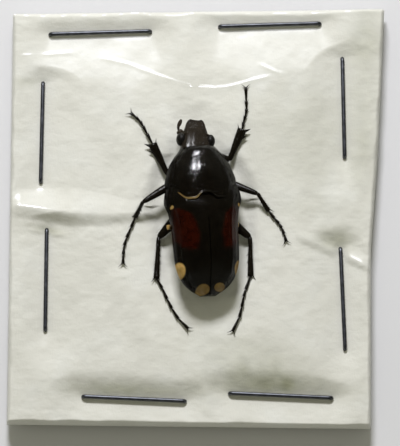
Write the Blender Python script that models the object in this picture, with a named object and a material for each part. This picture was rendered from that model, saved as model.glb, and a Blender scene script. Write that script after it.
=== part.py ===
"""A dried flower beetle, Pygora ornata, in its stapled specimen packet.

The beetle lies belly down on a cotton pad on a piece of card. A clear film is drawn over
it and held by eight wire staples that pass through film, pad and card and are clinched
below. Every named sub-part is one closed solid.
"""

import math

import bmesh
import bpy
import numpy as np
from mathutils import Matrix, Vector

# Sizes are in millimetres. X runs across the packet, Y towards the beetle's head and
# Z up from the surface that the clinched staples rest on.
METRES_PER_MM = 0.001

# Clearance between pieces that touch in the real packet
GAP = 0.3

# Packet outline, cut by hand: each edge is given by a few (along, across) places
LEFT_EDGE = ((-26.75, -23.75), (26.75, -23.45))
RIGHT_EDGE = ((-26.75, 21.6), (-4.3, 21.8), (8.4, 22.8), (26.75, 23.75))
FRONT_EDGE = ((-23.75, -26.2), (21.6, -26.75))
BACK_EDGE = ((-23.45, 26.1), (23.75, 26.75))

# Layers of the packet, as heights above the floor
CARD_BOTTOM = 0.8
CARD_THICKNESS = 0.6
PAD_BOTTOM = CARD_BOTTOM + CARD_THICKNESS + GAP
PAD_TOP = 4.0
PAD_TOP_AT_RIM = 3.4
PAD_TOP_UNDER_STAPLE = 2.3
PAD_HOLLOW_DEPTH = 0.9
PAD_HOLLOW_FADE = (0.6, 3.0)
PAD_EDGE_HEIGHT = 0.2
FILM_BOTTOM = 0.9
FILM_THICKNESS = 0.3
FILM_REST = 0.8
FILM_SLACK_OVER_BACK = 0.4
FILM_SLACK_OVER_LEGS = 0.5
FILM_SLOPE_FROM_BACK = 0.95
FILM_SLOPE_FROM_LEGS = 0.5
FILM_RIM_ROUNDING = 1.6
PAD_RIM_ROUNDING = 2.4
RIM_SOFTNESS = 7.0
CARD_INSET = FILM_THICKNESS + GAP
PAD_INSET = CARD_INSET + 0.4

# Grid of the cotton and the film: mean spacing, how much closer it is in the middle, where
# the lines that both share begin, and the lines that round the rims. Points on the back
# and legs hold the film up.
GRID_STEP = 2.17
GRID_CROWDING = 0.25
GRID_START = 3.0
RIM_LINES = (0.0, 0.15, 0.6, 1.6)
SAMPLE_ROWS = 56
SAMPLE_COLUMNS = 25

# Staples: one crown length, wire and prong, and the two ends of each crown
WIRE_RADIUS = 0.25
WIRE_SIDES = 8
WIRE_BEND = 0.35
CROWN_SLACK = 0.1
CROWN_HEIGHT = PAD_TOP_UNDER_STAPLE + 2 * GAP + FILM_THICKNESS + CROWN_SLACK + WIRE_RADIUS
CROWN_LENGTH = 12.6
PRONG_LENGTH = 3.2
PINCH_CORE = 1.6
PINCH_REACH = 4.8
HOLE_SIDES = 8
HOLE_RADIUS = (WIRE_RADIUS + GAP) / math.cos(math.pi / HOLE_SIDES)
STAPLES = {
    "staple_back_left": ((-18.7, 23.1), (-5.8, 23.5)),
    "staple_back_right": ((2.6, 24.1), (15.6, 24.5)),
    "staple_left_back": ((-19.4, 17.1), (-19.6, 4.0)),
    "staple_left_front": ((-18.8, -1.6), (-18.9, -14.7)),
    "staple_right_back": ((18.2, 20.2), (18.4, 7.2)),
    "staple_right_front": ((17.8, -4.0), (18.3, -17.1)),
    "staple_front_left": ((-14.4, -22.8), (-1.3, -23.4)),
    "staple_front_right": ((3.8, -22.4), (16.8, -23.0)),
}

# The beetle's own frame: x to its right, y to its head, z up, from the middle of its
# widest level at the back of the pronotum. It lies turned and rolled in the packet.
BEETLE_PLACE = (0.45, 1.5, 6.2)
BEETLE_YAW = math.radians(4.1)
BEETLE_ROLL = math.radians(10.0)

# Underside of the dorsal plates, and top of the sclerites below them
PLATE_BOTTOM = -0.4
UNDERBODY_TOP = PLATE_BOTTOM - GAP

# Elytra: (y, half width, height) along the pair, from under the pronotum to the apex
ELYTRA_PROFILE = (
    (1.3, 4.45, 3.55),
    (-0.5, 4.75, 3.85),
    (-1.8, 4.35, 4.0),
    (-4.0, 4.2, 4.1),
    (-7.0, 4.1, 3.9),
    (-8.5, 4.0, 3.5),
    (-10.0, 3.4, 2.75),
    (-11.2, 2.45, 1.9),
    (-12.2, 0.95, 0.9),
)
ELYTRA_SQUARENESS = 2.5
ELYTRA_ROWS = (1.3, 0.4, -0.5, -1.1, -1.9, -3.2, -4.8, -6.4, -7.8, -8.9, -9.8, -10.6, -11.3, -11.8, -12.2)
ELYTRA_COLUMNS = 12
ELYTRA_EDGE_TUCK = 0.15

# Pronotum: (share of the way forward, half width, height)
PRONOTUM_PROFILE = (
    (0.0, 4.3, 3.7),
    (0.2, 4.45, 3.6),
    (0.45, 4.05, 3.2),
    (0.65, 3.65, 2.8),
    (0.8, 3.05, 2.4),
    (0.93, 2.45, 2.0),
    (1.0, 2.2, 1.75),
)
PRONOTUM_SQUARENESS = 2.3
PRONOTUM_ROWS = 9
PRONOTUM_COLUMNS = 25
PRONOTUM_FRONT = 6.25
PRONOTUM_LOBE_Y = -0.6
PRONOTUM_LOBE_HALF_WIDTH = 2.2
PRONOTUM_HIND_ANGLE_Y = 1.0
PRONOTUM_NOTCH_DEPTH = 0.7
PRONOTUM_NOTCH_INNER = 0.4
PRONOTUM_NOTCH_OUTER = 1.4

# Scutellum, a triangle let in between the elytra
SCUTELLUM_ROWS = 5
SCUTELLUM_COLUMNS = 5
SCUTELLUM_FRONT = 0.6
SCUTELLUM_APEX = -2.8
SCUTELLUM_HALF_WIDTH = 1.2
SCUTELLUM_TIP_HALF_WIDTH = 0.15
SCUTELLUM_THICKNESS = 1.1

# Head: (y, half width, height of the top, depth below the top)
HEAD_PROFILE = (
    (6.75, 2.0, 1.4, 2.6),
    (7.3, 1.9, 1.25, 2.5),
    (8.1, 1.75, 0.95, 2.1),
    (8.9, 1.6, 0.6, 1.6),
    (9.5, 1.45, 0.3, 1.2),
    (10.1, 1.05, 0.1, 0.8),
)
HEAD_SQUARENESS = 3.2
HEAD_ROWS = 9
HEAD_COLUMNS = 13
HEAD_EDGE_HALF_HEIGHT = 0.2
EYE_CENTRE = (1.87, 7.35, 0.3)
EYE_RADII = (0.6, 0.74, 0.72)

# Underside: (y, half width, depth below UNDERBODY_TOP)
PROSTERNUM_PROFILE = ((3.75, 2.9, 1.3), (4.8, 2.5, 1.5), (6.2, 1.8, 1.0))
THORAX_PROFILE = ((3.4, 2.7, 1.3), (1.8, 3.3, 1.8), (-1.0, 3.7, 2.0), (-4.6, 3.75, 1.9))
ABDOMEN_PROFILE = (
    (-4.95, 3.75, 1.85),
    (-7.5, 3.7, 1.75),
    (-9.6, 3.3, 1.7),
    (-11.2, 2.3, 1.6),
    (-12.3, 1.0, 1.1),
)
PROSTERNUM_ROWS = 5
THORAX_ROWS = 8
ABDOMEN_ROWS = 9
UNDERBODY_COLUMNS = 11
UNDERBODY_SQUARENESS = 2.2
UNDERBODY_EDGE = 0.45

# Antennae in the beetle's frame: route from the base, for a beetle seen from the left.
# The left one lies beside the clypeus and the right one is folded below it.
ANTENNA_LEFT_ROUTE = ((-1.5, 8.35, -0.75), (-2.0, 8.75, -0.55), (-1.95, 9.3, -0.4), (-1.7, 10.15, -0.35))
ANTENNA_RIGHT_ROUTE = ((1.35, 8.2, -1.25), (1.15, 8.7, -1.4), (1.0, 9.2, -1.35), (0.9, 9.9, -1.2))
ANTENNA_RADII = (0.27, 0.25, 0.3, 0.26)

# Legs. The hip is in the beetle's frame. The rest are (x, y) places in the packet, where
# the limb lies on the cotton, but for a knee's lift. Widths are across the limb: hip,
# middle and end. Shares run along the limb, and a sink is a depth inside its surface.
LEG_SIDES = 8
LIMB_FLATNESS = 0.75
LIMB_LEAST_HALF_HEIGHT = 0.25
LIMB_SHARES = (0.0, 0.06, 0.3, 0.55, 0.8, 0.94, 1.0)
LIMB_FULLNESS = (0.55, 0.95, 1.0, 1.0, 1.0, 0.95, 0.55)
TARSUS_RADIUS = 0.26
TARSUS_SWELL = (0.98, 1.25)
TARSUS_JOINTS = 5
TARSUS_JOINT_PARTS = (0.06, 0.88)
TARSUS_SIDES = 6
CLAW_LENGTH = 0.75
CLAW_RADIUS = 0.16
CLAW_SPREAD = math.radians(32.0)
CLAW_ROOT_SPREAD = 0.6
FRONT_TEETH_SHARES = (0.72, 0.95)
OTHER_TEETH_SHARES = (0.5,)
TOOTH_LENGTH = 0.42
TOOTH_RADIUS = 0.26
TOOTH_SINK = 0.12
TOOTH_LEAN = 0.7
SPUR_LENGTH = 0.65
SPUR_RADIUS = 0.17
SPUR_SINK = 0.2
SPUR_LEAN = 0.75
LEGS = {
    "front_left": {
        "hip": (-1.5, 5.2, -1.45), "knee": (-3.75, 5.1), "ankle": (-5.65, 8.85),
        "toes": ((-6.3, 10.15), (-7.1, 11.7), (-8.3, 12.75)),
        "femur_widths": (1.2, 1.3, 0.9), "tibia_widths": (0.7, 0.95, 1.1), "outer_side": 1.0,
        "knee_lift": 0.3,
    },
    "front_right": {
        "hip": (1.4, 5.7, -1.45), "knee": (4.0, 6.85), "ankle": (5.6, 10.7),
        "toes": ((5.75, 11.75), (6.15, 13.3), (6.05, 14.7), (6.05, 16.0)),
        "femur_widths": (1.2, 1.3, 0.9), "tibia_widths": (0.7, 0.95, 1.15), "outer_side": -1.0,
        "knee_lift": 0.6,
    },
    "mid_left": {
        "hip": (-2.2, 2.9, -1.45), "knee": (-6.8, 1.15), "ankle": (-7.75, -0.45),
        "toes": ((-8.25, -1.7), (-8.9, -3.6), (-9.2, -5.0), (-9.25, -6.3)),
        "femur_widths": (0.9, 0.95, 0.7), "tibia_widths": (0.6, 0.6, 0.7), "outer_side": 1.0,
        "knee_lift": 1.6,
    },
    "mid_right": {
        "hip": (2.2, 2.9, -1.45), "knee": (7.5, 2.35), "ankle": (8.85, 0.35),
        "toes": ((9.6, -0.6), (10.5, -1.75), (11.0, -3.5)),
        "femur_widths": (0.9, 0.95, 0.7), "tibia_widths": (0.6, 0.6, 0.7), "outer_side": -1.0,
        "knee_lift": 0.9,
    },
    "hind_left": {
        "hip": (-2.0, -1.1, -1.5), "knee": (-4.85, -3.0), "ankle": (-5.1, -8.2),
        "toes": ((-4.4, -9.3), (-3.5, -11.4), (-2.4, -13.2), (-1.1, -14.45)),
        "femur_widths": (1.2, 1.25, 0.9), "tibia_widths": (0.65, 0.65, 0.8), "outer_side": 1.0,
        "knee_lift": 0.2,
    },
    "hind_right": {
        "hip": (2.0, -1.1, -1.5), "knee": (6.55, -3.0), "ankle": (6.6, -7.85),
        "toes": ((6.05, -8.9), (5.7, -10.8), (5.25, -12.9), (4.3, -14.8)),
        "femur_widths": (1.2, 1.25, 0.9), "tibia_widths": (0.65, 0.7, 0.8), "outer_side": -1.0,
        "knee_lift": 0.2,
    },
}

# Colours are linear, then roughness, metallic and how opaque the piece is
FINISHES = {
    "card": ((0.52, 0.50, 0.43), 0.85, 0.0, 1.0),
    "cotton": ((0.70, 0.69, 0.62), 0.95, 0.0, 1.0),
    "film": ((0.90, 0.92, 0.90), 0.12, 0.0, 0.12),
    "staple_steel": ((0.14, 0.15, 0.16), 0.35, 1.0, 1.0),
    "black_chitin": ((0.010, 0.008, 0.006), 0.25, 0.0, 1.0),
    "red_black_chitin": ((0.040, 0.006, 0.003), 0.25, 0.0, 1.0),
    "brown_chitin": ((0.022, 0.017, 0.010), 0.35, 0.0, 1.0),
    "eye": ((0.030, 0.022, 0.014), 0.20, 0.0, 1.0),
}
SHARP_ANGLE = math.radians(40.0)
WELD_DISTANCE = 1e-7


def clear_scene():
    for obj in list(bpy.data.objects):
        bpy.data.objects.remove(obj, do_unlink=True)


def make_material(name):
    """A plain Principled material with the finish of one kind of surface."""
    colour, roughness, metallic, alpha = FINISHES[name]
    material = bpy.data.materials.get(name) or bpy.data.materials.new(name)
    material.use_nodes = True
    shader = material.node_tree.nodes["Principled BSDF"]
    shader.inputs["Base Color"].default_value = (*colour, 1.0)
    shader.inputs["Roughness"].default_value = roughness
    shader.inputs["Metallic"].default_value = metallic
    shader.inputs["Alpha"].default_value = alpha
    return material


def smoothstep(value, low, high):
    share = np.clip((value - low) / (high - low), 0.0, 1.0)
    return share * share * (3.0 - 2.0 * share)


def profile(rows, column, place):
    """Value in one column of a profile, on a smooth curve through its rows."""
    rows = sorted(rows)
    places = [row[0] for row in rows]
    values = [row[column] for row in rows]
    place = min(max(place, places[0]), places[-1])
    last = len(rows) - 1
    index = min(max(int(np.searchsorted(places, place)) - 1, 0), last - 1)

    def slope(i):
        before, after = max(i - 1, 0), min(i + 1, last)
        return (values[after] - values[before]) / (places[after] - places[before])

    width = places[index + 1] - places[index]
    t = (place - places[index]) / width
    return (
        values[index] * (1 + 2 * t) * (1 - t) ** 2
        + values[index + 1] * t * t * (3 - 2 * t)
        + slope(index) * width * t * (1 - t) ** 2
        - slope(index + 1) * width * t * t * (1 - t)
    )


def beetle_matrix():
    turn = Matrix.Rotation(BEETLE_YAW, 4, "Z") @ Matrix.Rotation(BEETLE_ROLL, 4, "Y")
    return Matrix.Translation(BEETLE_PLACE) @ turn


BEETLE_MATRIX = beetle_matrix()


def from_beetle(point):
    return BEETLE_MATRIX @ Vector(point)


def arch(half_width, height, squareness, angle):
    """Point of a squarish arch at an angle from its right foot."""
    power = 2 / squareness
    cosine, sine = math.cos(angle), math.sin(angle)
    x = half_width * math.copysign(abs(cosine) ** power, cosine)
    return x, height * abs(sine) ** power


def new_object(name, bm, finish, triangles=True):
    """A named object in metres from a mesh built in millimetres."""
    if triangles:
        bmesh.ops.triangulate(bm, faces=bm.faces)
    bmesh.ops.recalc_face_normals(bm, faces=bm.faces)
    bmesh.ops.scale(bm, vec=(METRES_PER_MM,) * 3, verts=bm.verts)
    mesh = bpy.data.meshes.new(name)
    bm.to_mesh(mesh)
    bm.free()
    mesh.shade_smooth()
    mesh.set_sharp_from_angle(angle=SHARP_ANGLE)
    mesh.materials.append(make_material(finish))
    obj = bpy.data.objects.new(name, mesh)
    bpy.context.scene.collection.objects.link(obj)
    return obj


def add_grid(bm, points):
    """A sheet of triangles over a grid of points, split away from its four corners."""
    grid = [[bm.verts.new(point) for point in row] for row in points]
    rows, columns = len(grid), len(grid[0])
    for j in range(rows - 1):
        for i in range(columns - 1):
            a, b = grid[j][i], grid[j][i + 1]
            c, d = grid[j + 1][i + 1], grid[j + 1][i]
            if (2 * j < rows) == (2 * i < columns):
                bm.faces.new((a, b, c))
                bm.faces.new((a, c, d))
            else:
                bm.faces.new((a, b, d))
                bm.faces.new((b, c, d))
    return grid


def around(grid):
    """The items round the edge of a grid, in order."""
    right = [row[-1] for row in grid[1:-1]]
    left = [row[0] for row in grid[1:-1]]
    return list(grid[0]) + right + list(reversed(grid[-1])) + list(reversed(left))


def slab(name, upper, lower, finish, flat_below=False):
    """A closed body between two grids of points of the same size."""
    bm = bmesh.new()
    top = around(add_grid(bm, upper))
    if flat_below:
        bottom = [bm.verts.new(point) for point in around(lower)]
        bm.faces.new(bottom)
    else:
        bottom = around(add_grid(bm, lower))
    for k in range(len(top)):
        after = (k + 1) % len(top)
        bm.faces.new((top[k], top[after], bottom[after], bottom[k]))
    return new_object(name, bm, finish)


def tube(name, route, half_widths, half_heights, sides, finish):
    """A limb of oval section along a route, flat side down, with domed ends."""
    bm = bmesh.new()
    route = [Vector(point) for point in route]
    rings = []
    for index, point in enumerate(route):
        tangent = (route[min(index + 1, len(route) - 1)] - route[max(index - 1, 0)]).normalized()
        side = tangent.cross(Vector((0.0, 0.0, 1.0))).normalized()
        rise = side.cross(tangent)
        ring = []
        for k in range(sides):
            angle = math.tau * (k + 0.5) / sides
            across = side * half_widths[index] * math.cos(angle)
            ring.append(bm.verts.new(point + across + rise * half_heights[index] * math.sin(angle)))
        rings.append(ring)
    for ring, following in zip(rings, rings[1:]):
        for k in range(sides):
            bm.faces.new((ring[k], ring[(k + 1) % sides], following[(k + 1) % sides], following[k]))
    bm.faces.new(rings[0])
    bm.faces.new(rings[-1])
    return new_object(name, bm, finish)


def spike(base, direction, length, radius):
    """A four-sided spine or tooth, its root sunk behind its base."""
    direction = Vector(direction).normalized()
    side = direction.cross(Vector((0.0, 0.0, 1.0))).normalized()
    rise = side.cross(direction)
    root = Vector(base) - direction * radius
    bm = bmesh.new()
    corners = []
    for k in range(4):
        angle = math.tau * k / 4
        corners.append(bm.verts.new(root + (side * math.cos(angle) + rise * math.sin(angle)) * radius))
    tip = bm.verts.new(Vector(base) + direction * length)
    for k in range(4):
        bm.faces.new((corners[k], corners[(k + 1) % 4], tip))
    bm.faces.new(corners)
    return new_object("spike", bm, "black_chitin")


def inflated(obj, distance):
    """A copy of a solid whose surface lies a given distance further out."""
    copy = bpy.data.objects.new(obj.name + "_clearance", obj.data.copy())
    bpy.context.scene.collection.objects.link(copy)
    copy.display_type = "WIRE"
    copy.hide_render = True
    bm = bmesh.new()
    bm.from_mesh(copy.data)
    bm.normal_update()
    shifts = [vert.normal * vert.calc_shell_factor() * distance * METRES_PER_MM for vert in bm.verts]
    for vert, shift in zip(bm.verts, shifts):
        vert.co += shift
    bm.to_mesh(copy.data)
    bm.free()
    return copy


def keep_largest_shell(mesh):
    """Drop every closed surface but the largest one."""
    bm = bmesh.new()
    bm.from_mesh(mesh)
    bmesh.ops.remove_doubles(bm, verts=bm.verts, dist=WELD_DISTANCE)
    unseen = set(bm.verts)
    shells = []
    while unseen:
        stack = [unseen.pop()]
        shell = set(stack)
        while stack:
            for edge in stack.pop().link_edges:
                for vert in edge.verts:
                    if vert in unseen:
                        unseen.remove(vert)
                        shell.add(vert)
                        stack.append(vert)
        shells.append(shell)
    largest = max(shells, key=len)
    bmesh.ops.delete(bm, geom=[vert for vert in bm.verts if vert not in largest], context="VERTS")
    bmesh.ops.triangulate(bm, faces=bm.faces)
    bm.to_mesh(mesh)
    bm.free()


def combine(obj, others, operation):
    """Apply one exact Boolean of a solid with several others, which are then removed."""
    group = bpy.data.collections.new(obj.name + "_tools")
    for other in others:
        group.objects.link(other)
    modifier = obj.modifiers.new("combine", "BOOLEAN")
    modifier.operation = operation
    modifier.operand_type = "COLLECTION"
    modifier.collection = group
    modifier.solver = "EXACT"
    graph = bpy.context.evaluated_depsgraph_get()
    mesh = bpy.data.meshes.new_from_object(obj.evaluated_get(graph))
    obj.modifiers.clear()
    obj.data = mesh
    keep_largest_shell(mesh)
    mesh.shade_smooth()
    mesh.set_sharp_from_angle(angle=SHARP_ANGLE)
    for other in others:
        bpy.data.objects.remove(other, do_unlink=True)
    bpy.data.collections.remove(group)
    return obj


def carve_clear(obj, neighbours):
    """Cut a solid back so that it stays a gap away from its neighbours."""
    return combine(obj, [inflated(neighbour, GAP) for neighbour in neighbours], "DIFFERENCE")


# Heights of the cotton and of the film over it

def edges_at(u, v, inset):
    """Point of the packet at shares u across and v along, inside an inset outline."""
    front = np.interp(u, (0.0, 1.0), [place[1] for place in FRONT_EDGE]) + inset
    back = np.interp(u, (0.0, 1.0), [place[1] for place in BACK_EDGE]) - inset
    y = front + (back - front) * v
    left = np.interp(y, *zip(*LEFT_EDGE)) + inset
    right = np.interp(y, *zip(*RIGHT_EDGE)) - inset
    return left + (right - left) * u, y


def edge_distance(x, y):
    left = x - np.interp(y, *zip(*LEFT_EDGE))
    right = np.interp(y, *zip(*RIGHT_EDGE)) - x
    front = y - np.interp(x, *zip(*FRONT_EDGE))
    back = np.interp(x, *zip(*BACK_EDGE)) - y
    return min(left, right, front, back)


def crown_ends(ends):
    """The two ends of a crown, drawn to the staples' one length about its middle."""
    first, second = (np.array(end) for end in ends)
    middle = (first + second) / 2
    along = (second - first) / np.linalg.norm(second - first)
    return middle - along * CROWN_LENGTH / 2, middle + along * CROWN_LENGTH / 2


def crown_distance(x, y):
    """Distance to the nearest staple crown."""
    here = np.array((x, y))
    distances = []
    for ends in STAPLES.values():
        first, second = crown_ends(ends)
        share = np.clip(np.dot(here - first, second - first) / CROWN_LENGTH ** 2, 0.0, 1.0)
        distances.append(np.linalg.norm(here - first - (second - first) * share))
    return min(distances)


def beetle_plan(x, y):
    """Place in the beetle's frame, seen from above."""
    dx, dy = x - BEETLE_PLACE[0], y - BEETLE_PLACE[1]
    cosine, sine = math.cos(BEETLE_YAW), math.sin(BEETLE_YAW)
    return dx * cosine + dy * sine, dy * cosine - dx * sine


def body_half_width(y):
    if y > HEAD_PROFILE[0][0]:
        return profile(HEAD_PROFILE, 1, y)
    if y > 0.0:
        return profile(PRONOTUM_PROFILE, 1, y / PRONOTUM_FRONT)
    return profile(ELYTRA_PROFILE, 1, y)


def body_height(y):
    if y > HEAD_PROFILE[0][0]:
        return profile(HEAD_PROFILE, 2, y)
    if y > 0.0:
        return profile(PRONOTUM_PROFILE, 2, y / PRONOTUM_FRONT)
    return profile(ELYTRA_PROFILE, 2, y)


def body_distance(x, y):
    """Distance outside the beetle's outline, seen from above."""
    px, py = beetle_plan(x, y)
    inside_y = min(max(py, ELYTRA_PROFILE[-1][0]), HEAD_PROFILE[-1][0])
    return math.hypot(max(0.0, abs(px) - body_half_width(inside_y)), py - inside_y)


def pad_top(x, y):
    """Height of the cotton: thick in the middle, pinched at staples, hollow at the beetle."""
    height = PAD_TOP_AT_RIM + (PAD_TOP - PAD_TOP_AT_RIM) * smoothstep(edge_distance(x, y), 0.0, RIM_SOFTNESS)
    height -= PAD_HOLLOW_DEPTH * (1.0 - smoothstep(body_distance(x, y), *PAD_HOLLOW_FADE))
    pinch = 1.0 - smoothstep(crown_distance(x, y), PINCH_CORE, PINCH_REACH)
    return height + (PAD_TOP_UNDER_STAPLE - height) * pinch


def limb_point(x, y, half_height, lift=0.0):
    """A limb's axis where it lies on the cotton, or is lifted off it."""
    return Vector((x, y, pad_top(x, y) + GAP + half_height + lift))


def divided(route, parts=4):
    """Points along a route of straight stretches, each divided into equal parts."""
    points = []
    for start, end in zip(route, route[1:]):
        shares = np.linspace(0.0, 1.0, parts, endpoint=False)
        points += [np.array(start) * (1 - share) + np.array(end) * share for share in shares]
    return points + [np.array(route[-1])]


def back_samples():
    """Points over the beetle's back, eyes and antenna that hold the film up."""
    points = []
    for y in np.linspace(ELYTRA_PROFILE[-1][0], HEAD_PROFILE[-1][0], SAMPLE_ROWS):
        for k in range(SAMPLE_COLUMNS):
            angle = math.pi * k / (SAMPLE_COLUMNS - 1)
            x, z = arch(body_half_width(y), body_height(y), ELYTRA_SQUARENESS, angle)
            points.append((x, y, z))
    x, y, z = EYE_CENTRE
    points += [(side * (x + EYE_RADII[0] / 2), y, z + EYE_RADII[2]) for side in (-1, 1)]
    points += [(x, y, z + max(ANTENNA_RADII)) for x, y, z in divided(ANTENNA_LEFT_ROUTE)]
    return np.array([from_beetle(point) for point in points])


def leg_samples():
    """Points along the legs' upper sides that hold the film up."""
    samples = []
    for leg in LEGS.values():
        thickness = max(leg["tibia_widths"]) * LIMB_FLATNESS
        places = [(*leg["knee"], leg["knee_lift"])]
        places += [(x, y, 0.0) for x, y in (leg["ankle"], *leg["toes"])]
        samples += [limb_point(x, y, thickness, lift) for x, y, lift in divided(places)]
    return np.array(samples)


BACK_SAMPLES = back_samples()
LEG_SAMPLES = leg_samples()


def film_top(x, y):
    """Height of the film's upper face: it leans on the back, the legs and the cotton."""
    over_pad = pad_top(x, y) + GAP + FILM_THICKNESS
    distance = np.hypot(BACK_SAMPLES[:, 0] - x, BACK_SAMPLES[:, 1] - y)
    over_back = np.max(BACK_SAMPLES[:, 2] - FILM_SLOPE_FROM_BACK * np.maximum(distance - FILM_REST, 0.0))
    over_back += FILM_SLACK_OVER_BACK + FILM_THICKNESS
    distance = np.hypot(LEG_SAMPLES[:, 0] - x, LEG_SAMPLES[:, 1] - y)
    over_legs = np.max(LEG_SAMPLES[:, 2] - FILM_SLOPE_FROM_LEGS * np.maximum(distance - FILM_REST, 0.0))
    over_legs += FILM_SLACK_OVER_LEGS + FILM_THICKNESS
    return max(over_pad, over_back, over_legs)


def grid_lines(length, inset):
    """Shares along a side: lines that round both rims, and the same ones between for all."""
    inner = length - 2 * GRID_START
    count = round(inner / GRID_STEP)
    middle = []
    for k in range(count + 1):
        share = k / count + GRID_CROWDING * math.sin(math.tau * k / count) / math.tau
        middle.append(GRID_START + inner * share)
    rim = [inset + line for line in RIM_LINES]
    lines = rim + middle + [length - line for line in reversed(rim)]
    return [line / length for line in lines]


def rim_share(distance, rounding):
    """Height share of a quarter-round rim at a distance from its edge."""
    inward = min(max(distance / rounding, 0.0), 1.0)
    return math.sqrt(1.0 - (1.0 - inward) ** 2)


def pillow_grid(inset, base, rounding, height_at):
    """Points of a soft sheet over the packet, with rounded rims down to a base level."""
    width = RIGHT_EDGE[-1][1] - LEFT_EDGE[-1][1]
    length = BACK_EDGE[-1][1] - FRONT_EDGE[-1][1]
    grid = []
    for v in grid_lines(length, inset):
        row = []
        for u in grid_lines(width, inset):
            x, y = edges_at(u, v, 0.0)
            share = rim_share(edge_distance(x, y) - inset, rounding)
            row.append((x, y, base + (height_at(x, y) - base) * share))
        grid.append(row)
    return grid


# The mount: card, cotton, film and staples

def build_card():
    corners = [edges_at(u, v, CARD_INSET) for u, v in ((0, 0), (1, 0), (1, 1), (0, 1))]
    bends = [(y, x - CARD_INSET) for y, x in RIGHT_EDGE[1:-1]]
    outline = corners[:2] + [(x, y) for y, x in bends] + corners[2:]
    bm = bmesh.new()
    face = bm.faces.new([bm.verts.new((x, y, CARD_BOTTOM)) for x, y in outline])
    raised = bmesh.ops.extrude_face_region(bm, geom=[face])
    verts = [item for item in raised["geom"] if isinstance(item, bmesh.types.BMVert)]
    bmesh.ops.translate(bm, vec=(0.0, 0.0, CARD_THICKNESS), verts=verts)
    return new_object("card", bm, "card")


def build_pad():
    upper = pillow_grid(PAD_INSET, PAD_BOTTOM + PAD_EDGE_HEIGHT, PAD_RIM_ROUNDING, pad_top)
    lower = [[(x, y, PAD_BOTTOM) for x, y, _ in row] for row in upper]
    return slab("cotton_pad", upper, lower, "cotton", flat_below=True)


def build_film():
    def film_underside(x, y):
        return film_top(x, y) - FILM_THICKNESS

    upper = pillow_grid(0.0, FILM_BOTTOM, FILM_RIM_ROUNDING, film_top)
    lower = pillow_grid(FILM_THICKNESS, FILM_BOTTOM, FILM_RIM_ROUNDING, film_underside)
    return slab("film", upper, lower, "film")


def build_staple(name, ends):
    """A crown with two legs, each clinched flat towards the middle below the card."""
    first, second = (Vector((*end, 0.0)) for end in crown_ends(ends))
    along = (second - first).normalized()
    low, high = WIRE_RADIUS, CROWN_HEIGHT

    def half(corner, inward):
        prong = corner + inward * PRONG_LENGTH + Vector((0, 0, low))
        bend = WIRE_BEND
        diagonal = bend * (1 - math.sqrt(0.5))
        return [
            prong,
            corner + inward * bend + Vector((0, 0, low)),
            corner + inward * diagonal + Vector((0, 0, low + diagonal)),
            corner + Vector((0, 0, low + bend)),
            corner + Vector((0, 0, high - bend)),
            corner + inward * diagonal + Vector((0, 0, high - diagonal)),
            corner + inward * bend + Vector((0, 0, high)),
        ]

    route = half(first, along) + list(reversed(half(second, -along)))
    side = along.cross(Vector((0, 0, 1)))
    bm = bmesh.new()
    rings = []
    radius = WIRE_RADIUS / math.cos(math.pi / WIRE_SIDES)
    for index, point in enumerate(route):
        tangent = (route[min(index + 1, len(route) - 1)] - route[max(index - 1, 0)]).normalized()
        rise = side.cross(tangent)
        ring = []
        for k in range(WIRE_SIDES):
            angle = math.tau * (k + 0.5) / WIRE_SIDES
            ring.append(bm.verts.new(point + (side * math.cos(angle) + rise * math.sin(angle)) * radius))
        rings.append(ring)
    for ring, following in zip(rings, rings[1:]):
        for k in range(WIRE_SIDES):
            after = (k + 1) % WIRE_SIDES
            bm.faces.new((ring[k], ring[after], following[after], following[k]))
    bm.faces.new(rings[0])
    bm.faces.new(rings[-1])
    return new_object(name, bm, "staple_steel")


def staple_holes():
    """One upright prism for each staple leg, through film, pad and card."""
    holes = []
    for ends in STAPLES.values():
        for x, y in crown_ends(ends):
            bm = bmesh.new()
            bmesh.ops.create_cone(
                bm, cap_ends=True, segments=HOLE_SIDES, radius1=HOLE_RADIUS, radius2=HOLE_RADIUS,
                depth=2 * CROWN_HEIGHT, matrix=Matrix.Translation((x, y, CROWN_HEIGHT)),
            )
            holes.append(new_object("hole", bm, "card", triangles=False))
    return holes


def build_mount():
    for build in (build_card, build_pad, build_film):
        combine(build(), staple_holes(), "DIFFERENCE")
    for name, ends in STAPLES.items():
        build_staple(name, ends)


# The beetle's body

def build_elytron(name, side):
    """One wing case, from the suture to its outer edge; side is -1 on the left."""
    upper, lower = [], []
    for y in ELYTRA_ROWS:
        half_width, height = profile(ELYTRA_PROFILE, 1, y), profile(ELYTRA_PROFILE, 2, y)
        start = math.acos((GAP / 2 / half_width) ** (ELYTRA_SQUARENESS / 2))
        top_row, bottom_row = [], []
        for k in range(ELYTRA_COLUMNS):
            angle = start * (1 - k / (ELYTRA_COLUMNS - 1))
            x, z = arch(half_width, height, ELYTRA_SQUARENESS, angle)
            top_row.append(from_beetle((side * x, y, z)))
            tucked = max(GAP / 2, x - ELYTRA_EDGE_TUCK * x / half_width)
            bottom_row.append(from_beetle((side * tucked, y, PLATE_BOTTOM)))
        upper.append(top_row)
        lower.append(bottom_row)
    return slab(name, upper, lower, "red_black_chitin", flat_below=True)


def pronotum_rear(x):
    """Hind margin: two lobes, cut back at the hind angles and notched at the scutellum."""
    to_angles = smoothstep(abs(x), PRONOTUM_LOBE_HALF_WIDTH, PRONOTUM_PROFILE[0][1])
    to_notch = 1.0 - smoothstep(abs(x), PRONOTUM_NOTCH_INNER, PRONOTUM_NOTCH_OUTER)
    back_to_angles = (PRONOTUM_HIND_ANGLE_Y - PRONOTUM_LOBE_Y) * to_angles
    return PRONOTUM_LOBE_Y + back_to_angles + PRONOTUM_NOTCH_DEPTH * to_notch


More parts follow.
